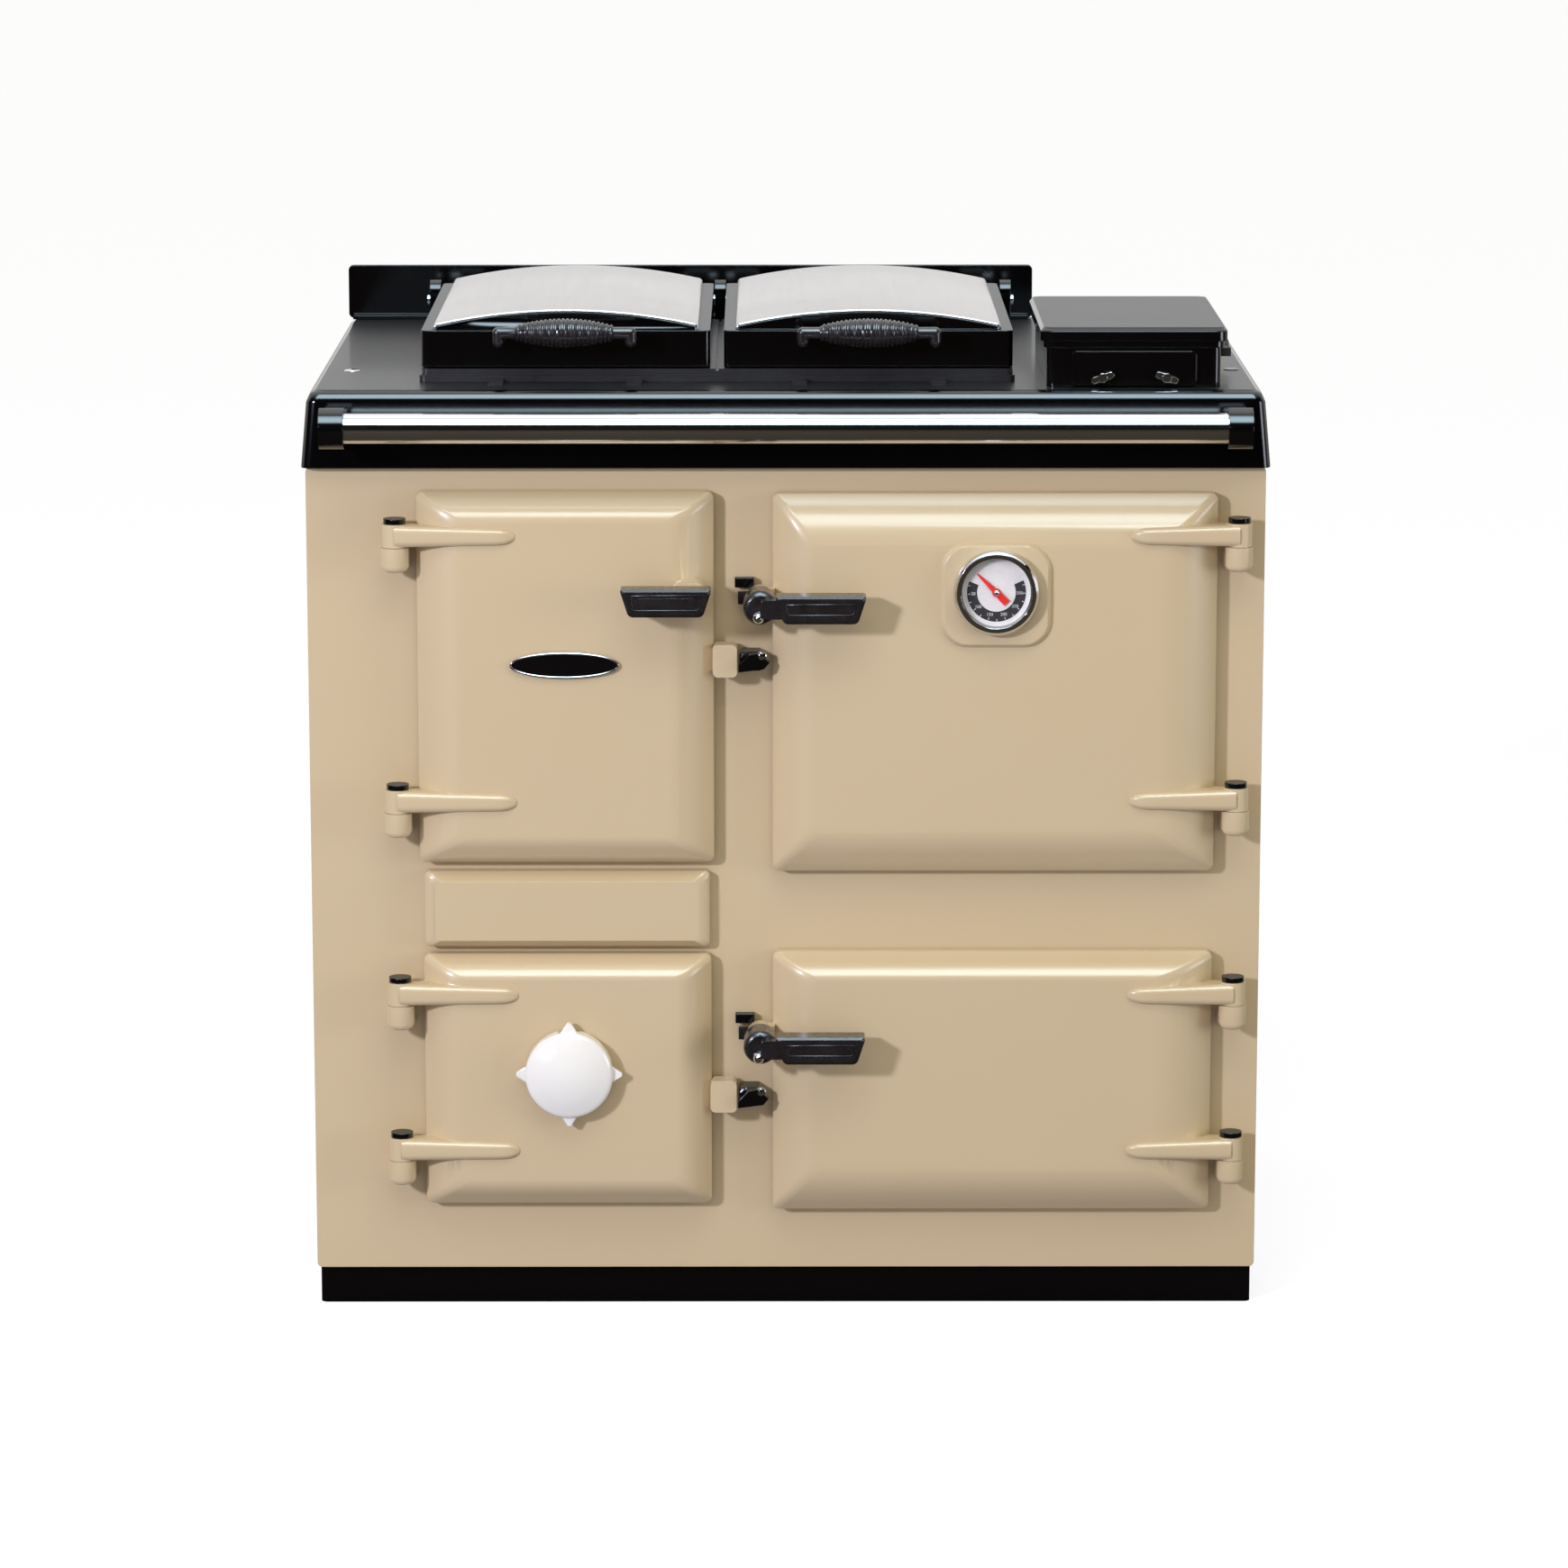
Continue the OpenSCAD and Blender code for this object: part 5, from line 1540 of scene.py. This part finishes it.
@dataclass
class Fittings:
    """Small bright fittings, plugs and screws."""

    rim: float = 1.1 * MM
    line: float = 0.9 * MM
    hub: float = 35.0 * MM
    panel_in: float = 11.0 * MM
    blade_half: float = 11.0 * MM

    def build(self) -> None:
        """Makes every small fitting."""
        self.oval_rim()
        self.grip_outlines()
        self.catch_caps()
        self.lever_balls()
        self.plugs()
        self.screws()

    def oval_rim(self) -> None:
        """Puts a bright rim round the bare oval plate."""
        low, high = corners("fire_door_plate")
        mid, half = (low + high) / 2, (high - low) / 2 - Vector((1, 0, 1)) * 0.9 * MM
        turns = [2 * math.pi * k / 96 for k in range(96)]
        path = [
            Vector((mid.x + half.x * math.cos(a), low.y, mid.z + half.z * math.sin(a)))
            for a in turns
        ]
        SHOP.place("fire_door_plate_rim", tube(path, self.rim, Vector((0, 1, 0))),
                   Finish.CHROME, SHOP.body_of["fire_door_plate"])

    def grip_outlines(self) -> None:
        """Lays a fine raised line round the panel of each grip.

        The line stands where the grip's face was, so the face steps back.
        """
        front = Vector((0, 1, 0))
        slant, lean = 2 * MM, 1 * MM
        for node, hub in (
            ("fire_door_grip", 0.0), ("main_oven_lever", self.hub),
            ("lower_oven_lever", self.hub),
        ):
            low, high = corners(node)
            left, right = low.x + hub + self.panel_in, high.x - self.panel_in
            foot, top = low.z, high.z
            if hub:
                middle_z = (low.z + high.z) / 2
                foot, top = middle_z - self.blade_half, middle_z + self.blade_half
            foot, top = foot + 6.5 * MM, top - 5.5 * MM
            for vertex in bpy.data.objects[f"{node}_dressed"].data.vertices:
                if vertex.co.y < low.y + 0.2 * MM:
                    vertex.co.y += self.line
            path = [
                Vector((x, low.y + self.line, z)) for x, z in (
                    (left + slant, foot), (right - slant, foot), (right, foot + slant),
                    (right + lean, top), (left - lean, top), (left, foot + slant),
                )
            ]
            SHOP.place(f"{node}_outline", tube(path, self.line, front, 8),
                       Finish.GRIP, SHOP.body_of[node])

    def catch_caps(self) -> None:
        """Puts a bright wear pad on top of each catch's tongue."""
        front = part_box("door_catches")[0][1]
        outline = [(0, -2.2), (2.6, -2.0), (4.4, -0.8), (4.8, 1.2), (4.4, 4.0), (0, 4.0)]
        for name, x, z in (("fire", -22.5, 638.5), ("ashpit", -23.5, 219.0)):
            SHOP.turn(
                f"{name}_catch_pad", outline, Vector((x * MM, front + 1.6 * MM, z * MM)),
                (0, 1, 0), Finish.CHROME, "cooker", 28,
            )

    def lever_balls(self) -> None:
        """Puts a bright ball on the front of each lever's hub."""
        ball, neck = 5.2, 4.0
        outline = [(0.0, -7.6)]
        for k in range(1, 11):
            turn = math.radians(12 * k)
            outline.append((ball * math.sin(turn), -2.4 - ball * math.cos(turn)))
        outline += [(neck, 1.0), (0.0, 1.0)]
        for node in ("main_oven_lever", "lower_oven_lever"):
            low, high = corners(node)
            hub = Vector((low.x + 21 * MM, FACE_Y - 70.3 * MM, (low.z + high.z) / 2))
            SHOP.turn(
                f"{node}_ball", outline, hub + Vector((-2 * MM, 0, -8.8 * MM)), (0, 1, 0),
                Finish.CHROME, SHOP.body_of[node],
            )

    def plugs(self) -> None:
        """Fills the two tapped holes in the top plate."""
        outline = [(0, 0.9), (6.6, 0.9), (7.6, 0.4), (8.0, -0.6), (0, -0.6)]
        for name, x, y, finish in (
            ("left", -414, 146, Finish.CHROME), ("right", 427, 153, Finish.BLACK),
        ):
            spot = Vector((x * MM, FACE_Y + y * MM, HOB_Z))
            SHOP.turn(
                f"top_plate_plug_{name}", outline, spot, (0, 0, 1), finish, "cooker", 40
            )

    def screws(self) -> None:
        """Sets the screws of the casing, collar, hinge posts, brackets and liners."""
        black, zinc, chrome = (
            screw_tree(finish) for finish in (Finish.BLACK, Finish.ZINC, Finish.CHROME)
        )
        low, high = corners("front_plate")
        half, tall = high.x - 12 * MM, high.z - low.z
        back = FACE_Y + BODY_DEPTH
        rows = [
            Seed(Vector((half * (k / 3 - 1), back, z)), (0, 1, 0), 0.7 * k + z)
            for k in range(7) for z in (low.z + 12 * MM, high.z - 14 * MM)
        ]
        rows += [
            Seed(Vector((x, back, low.z + tall * k / 6)), (0, 1, 0), 1.3 * k + x)
            for k in range(1, 6) for x in (-half, half)
        ]
        SHOP.grow("back_panel_screws", zinc, seed_mesh(rows), "cooker")
        collar, circle = middle("flue_collar"), 88 * MM
        bolts = [
            Seed(
                Vector((collar.x + circle * math.cos(a), back + 6 * MM,
                        collar.z + circle * math.sin(a))),
                (0, 1, 0), a,
            )
            for a in (math.radians(60 * k + 30) for k in range(6))
        ]
        SHOP.grow("flue_collar_screws", zinc, seed_mesh(bolts), "cooker",
                  {"Head radius": 4.6 * MM, "Head height": 2.4 * MM})
        first, last = corners("lid_hinge_posts")
        feet = [
            Seed(Vector((x, (first.y + last.y) / 2 + dy, HOB_Z + 6 * MM)), (0, 0, 1), x * 9)
            for x in (first.x + 5.5 * MM, middle_between_lids(), last.x - 5.5 * MM)
            for dy in (-16 * MM, 16 * MM)
        ]
        SHOP.grow("lid_hinge_post_screws", chrome, seed_mesh(feet), "cooker",
                  {"Head radius": 3.0 * MM, "Head height": 1.6 * MM})
        rail, axis = corners("towel_rail_brackets"), middle("towel_rail")
        ends = [
            Seed(Vector((end.x, axis.y, axis.z)), (way, 0, 0), spin)
            for end, way, spin in zip(rail, (-1, 1), (0.4, 1.1))
        ]
        SHOP.grow("towel_rail_end_screws", chrome, seed_mesh(ends), "cooker",
                  {"Head radius": 5.0 * MM, "Head height": 1.4 * MM})
        inset = 9 * MM
        for door in ("fire_door", "main_oven_door", "lower_oven_door"):
            low, high = corners(f"{door}_liner")
            seeds = [
                Seed(Vector((x, high.y, z)), (0, 1, 0), x * 20 + z)
                for x in (low.x + inset, high.x - inset)
                for z in (low.z + inset, high.z - inset)
            ]
            SHOP.grow(f"{door}_liner_screws", black, seed_mesh(seeds), SHOP.body_of[door])


def middle_between_lids() -> float:
    """Returns the X of the gap between the lids."""
    return (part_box("left_lid_frame")[1][0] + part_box("right_lid_frame")[0][0]) / 2


# Studio ------------------------------------------------------------------------


@dataclass
class Lamp:
    """A soft box."""

    name: str
    place: tuple[float, float, float]
    aim: tuple[float, float, float]
    size: tuple[float, float]
    watts: float
    tint: RGB = (1.0, 1.0, 1.0)

    def build(self) -> None:
        """Makes the lamp."""
        data = bpy.data.lights.new(self.name, "AREA")
        data.shape = "RECTANGLE"
        data.size, data.size_y = self.size
        data.energy = self.watts
        data.color = self.tint
        lamp = linked(self.name, data)
        lamp.location = self.place
        ahead = Vector(self.aim) - Vector(self.place)
        lamp.rotation_euler = ahead.to_track_quat("-Z", "Y").to_euler()


@dataclass(frozen=True)
class Zone:
    """A soft panel of the studio that gloss sees, round a direction."""

    towards: tuple[float, float, float]
    start: float
    end: float
    strength: float
    tint: RGB = (1.0, 1.0, 1.0)


@dataclass
class Studio:
    """Floor, world, lamps and camera."""

    eye: tuple[float, float, float] = (-0.018, -5.771, 1.587)
    down: float = 11.07
    turn: float = -0.17
    lens: float = 136.3
    fill: float = 0.51
    fill_tint: RGB = (1.0, 0.97, 0.74)
    floor_tone: RGB = (0.42, 0.43, 0.54)
    floor_glow: float = 0.76
    floor_half: float = 30.0
    # painted shade and painted light that gloss sees on the floor, before and behind the cooker
    painted_shade_before: RGB = (0.06, 0.05, 0.04)
    painted_light_behind: RGB = (0.7, 0.7, 0.7)
    dark_front: float = 0.012
    zones: tuple[Zone, ...] = (
        Zone((0.0, 1.0, 0.0), -0.1, 0.3, 0.95),
        Zone((0.0, 0.0, 1.0), 0.6, 0.95, 0.75),
        Zone((0.0, -0.5, 0.866), 0.9, 0.97, 9.0, (0.6, 0.84, 1.0)),
    )
    lamps: tuple[Lamp, ...] = (
        Lamp("key", (-3.1, -4.1, 2.2), (0.0, -0.3, 0.45), (0.42, 0.42), 160.0,
             (0.9, 0.93, 1.2)),
        Lamp("overhead", (0.1, -1.9, 3.1), (0.0, -0.1, 0.5), (2.6, 1.2), 22.0),
        Lamp("right", (4.2, -2.2, 1.0), (0.3, -0.3, 0.45), (1.6, 1.6), 42.0,
             (0.9, 0.95, 1.1)),
    )

    def build(self) -> None:
        """Sets up the studio."""
        bpy.context.scene.view_settings.view_transform = "Standard"
        self.world()
        self.floor()
        for lamp in self.lamps:
            lamp.build()
        data = bpy.data.cameras.new("camera")
        data.lens = self.lens
        data.sensor_width = 36.0
        data.clip_end = 60.0
        camera = linked("camera", data)
        camera.location = self.eye
        camera.rotation_euler = (
            math.radians(90 - self.down), 0.0, math.radians(self.turn)
        )
        bpy.context.scene.camera = camera

    def world(self) -> None:
        """Lights the object softly, and shows gloss a studio with pale panels."""
        world = bpy.data.worlds.new("studio")
        bpy.context.scene.world = world
        world.use_nodes = True
        # rays that leave a surface find the world, so gloss and matt keep apart
        world.cycles.sampling_method = "NONE"
        tree = Shaders(world.node_tree, "ShaderNodeOutputWorld")
        around = tree.add("ShaderNodeTexCoord").outputs["Generated"]
        total = tree.out("ShaderNodeBackground", {"Strength": self.dark_front})
        for zone in self.zones:
            near = tree.add(
                "ShaderNodeVectorMath", {0: around, 1: zone.towards}, operation="DOT_PRODUCT"
            ).outputs["Value"]
            power = tree.spread(
                near, 0.0, zone.strength, zone.start, zone.end, interpolation_type="SMOOTHSTEP"
            )
            panel = tree.out(
                "ShaderNodeBackground", {"Color": (*zone.tint, 1.0), "Strength": power}
            )
            total = tree.out("ShaderNodeAddShader", {0: total, 1: panel})
        lit = tree.out(
            "ShaderNodeBackground", {"Color": (*self.fill_tint, 1.0), "Strength": self.fill}
        )
        straight = tree.sum("MAXIMUM", tree.ray("Camera"), tree.ray("Transmission"))
        around_it = tree.mix(tree.ray("Glossy"), lit, total)
        tree.show(tree.mix(straight, around_it, tree.out("ShaderNodeBackground")))

    def floor(self) -> None:
        """Lays a pale floor that meets the white background and keeps the shadow."""
        mesh = bpy.data.meshes.new("floor")
        half = self.floor_half
        mesh.from_pydata(
            [(-half, -half, 0), (half, -half, 0), (half, half, 0), (-half, half, 0)],
            [], [(0, 1, 2, 3)],
        )
        material = bpy.data.materials.new("floor")
        material.use_nodes = True
        tree = Shaders(material.node_tree)
        cloth = tree.out("ShaderNodeBsdfDiffuse", {"Color": (*self.floor_tone, 1.0)})
        bright = tree.sum("MULTIPLY", tree.ray("Camera"), self.floor_glow)
        glow = tree.out("ShaderNodeEmission", {"Strength": bright})
        matt = tree.out("ShaderNodeAddShader", {0: cloth, 1: glow})
        # gloss sees the floor with painted shade before the cooker and painted light behind it,
        # in place of the floor's own tone
        coords = tree.add("ShaderNodeTexCoord").outputs["Object"]
        back = tree.add("ShaderNodeSeparateXYZ", {"Vector": coords}).outputs["Y"]
        tone = tree.blend(
            tree.spread(back, 0.0, 1.0, 0.2, 1.0), self.painted_shade_before, self.painted_light_behind
        )
        painted_reflection = tree.out("ShaderNodeBsdfDiffuse", {"Color": tone})
        tree.show(tree.mix(tree.ray("Glossy"), matt, painted_reflection))
        mesh.materials.append(material)
        linked("floor", mesh)


def main() -> None:
    """Builds the studio and the cooker's sub-assemblies in order."""
    logging.basicConfig(level=logging.INFO, format="%(message)s")
    Studio().build()
    for part in (Castings(), Lids(), Arms(), Ropes(), Thermometer(), Fittings()):
        part.build()


if __name__ == "__main__":
    main()
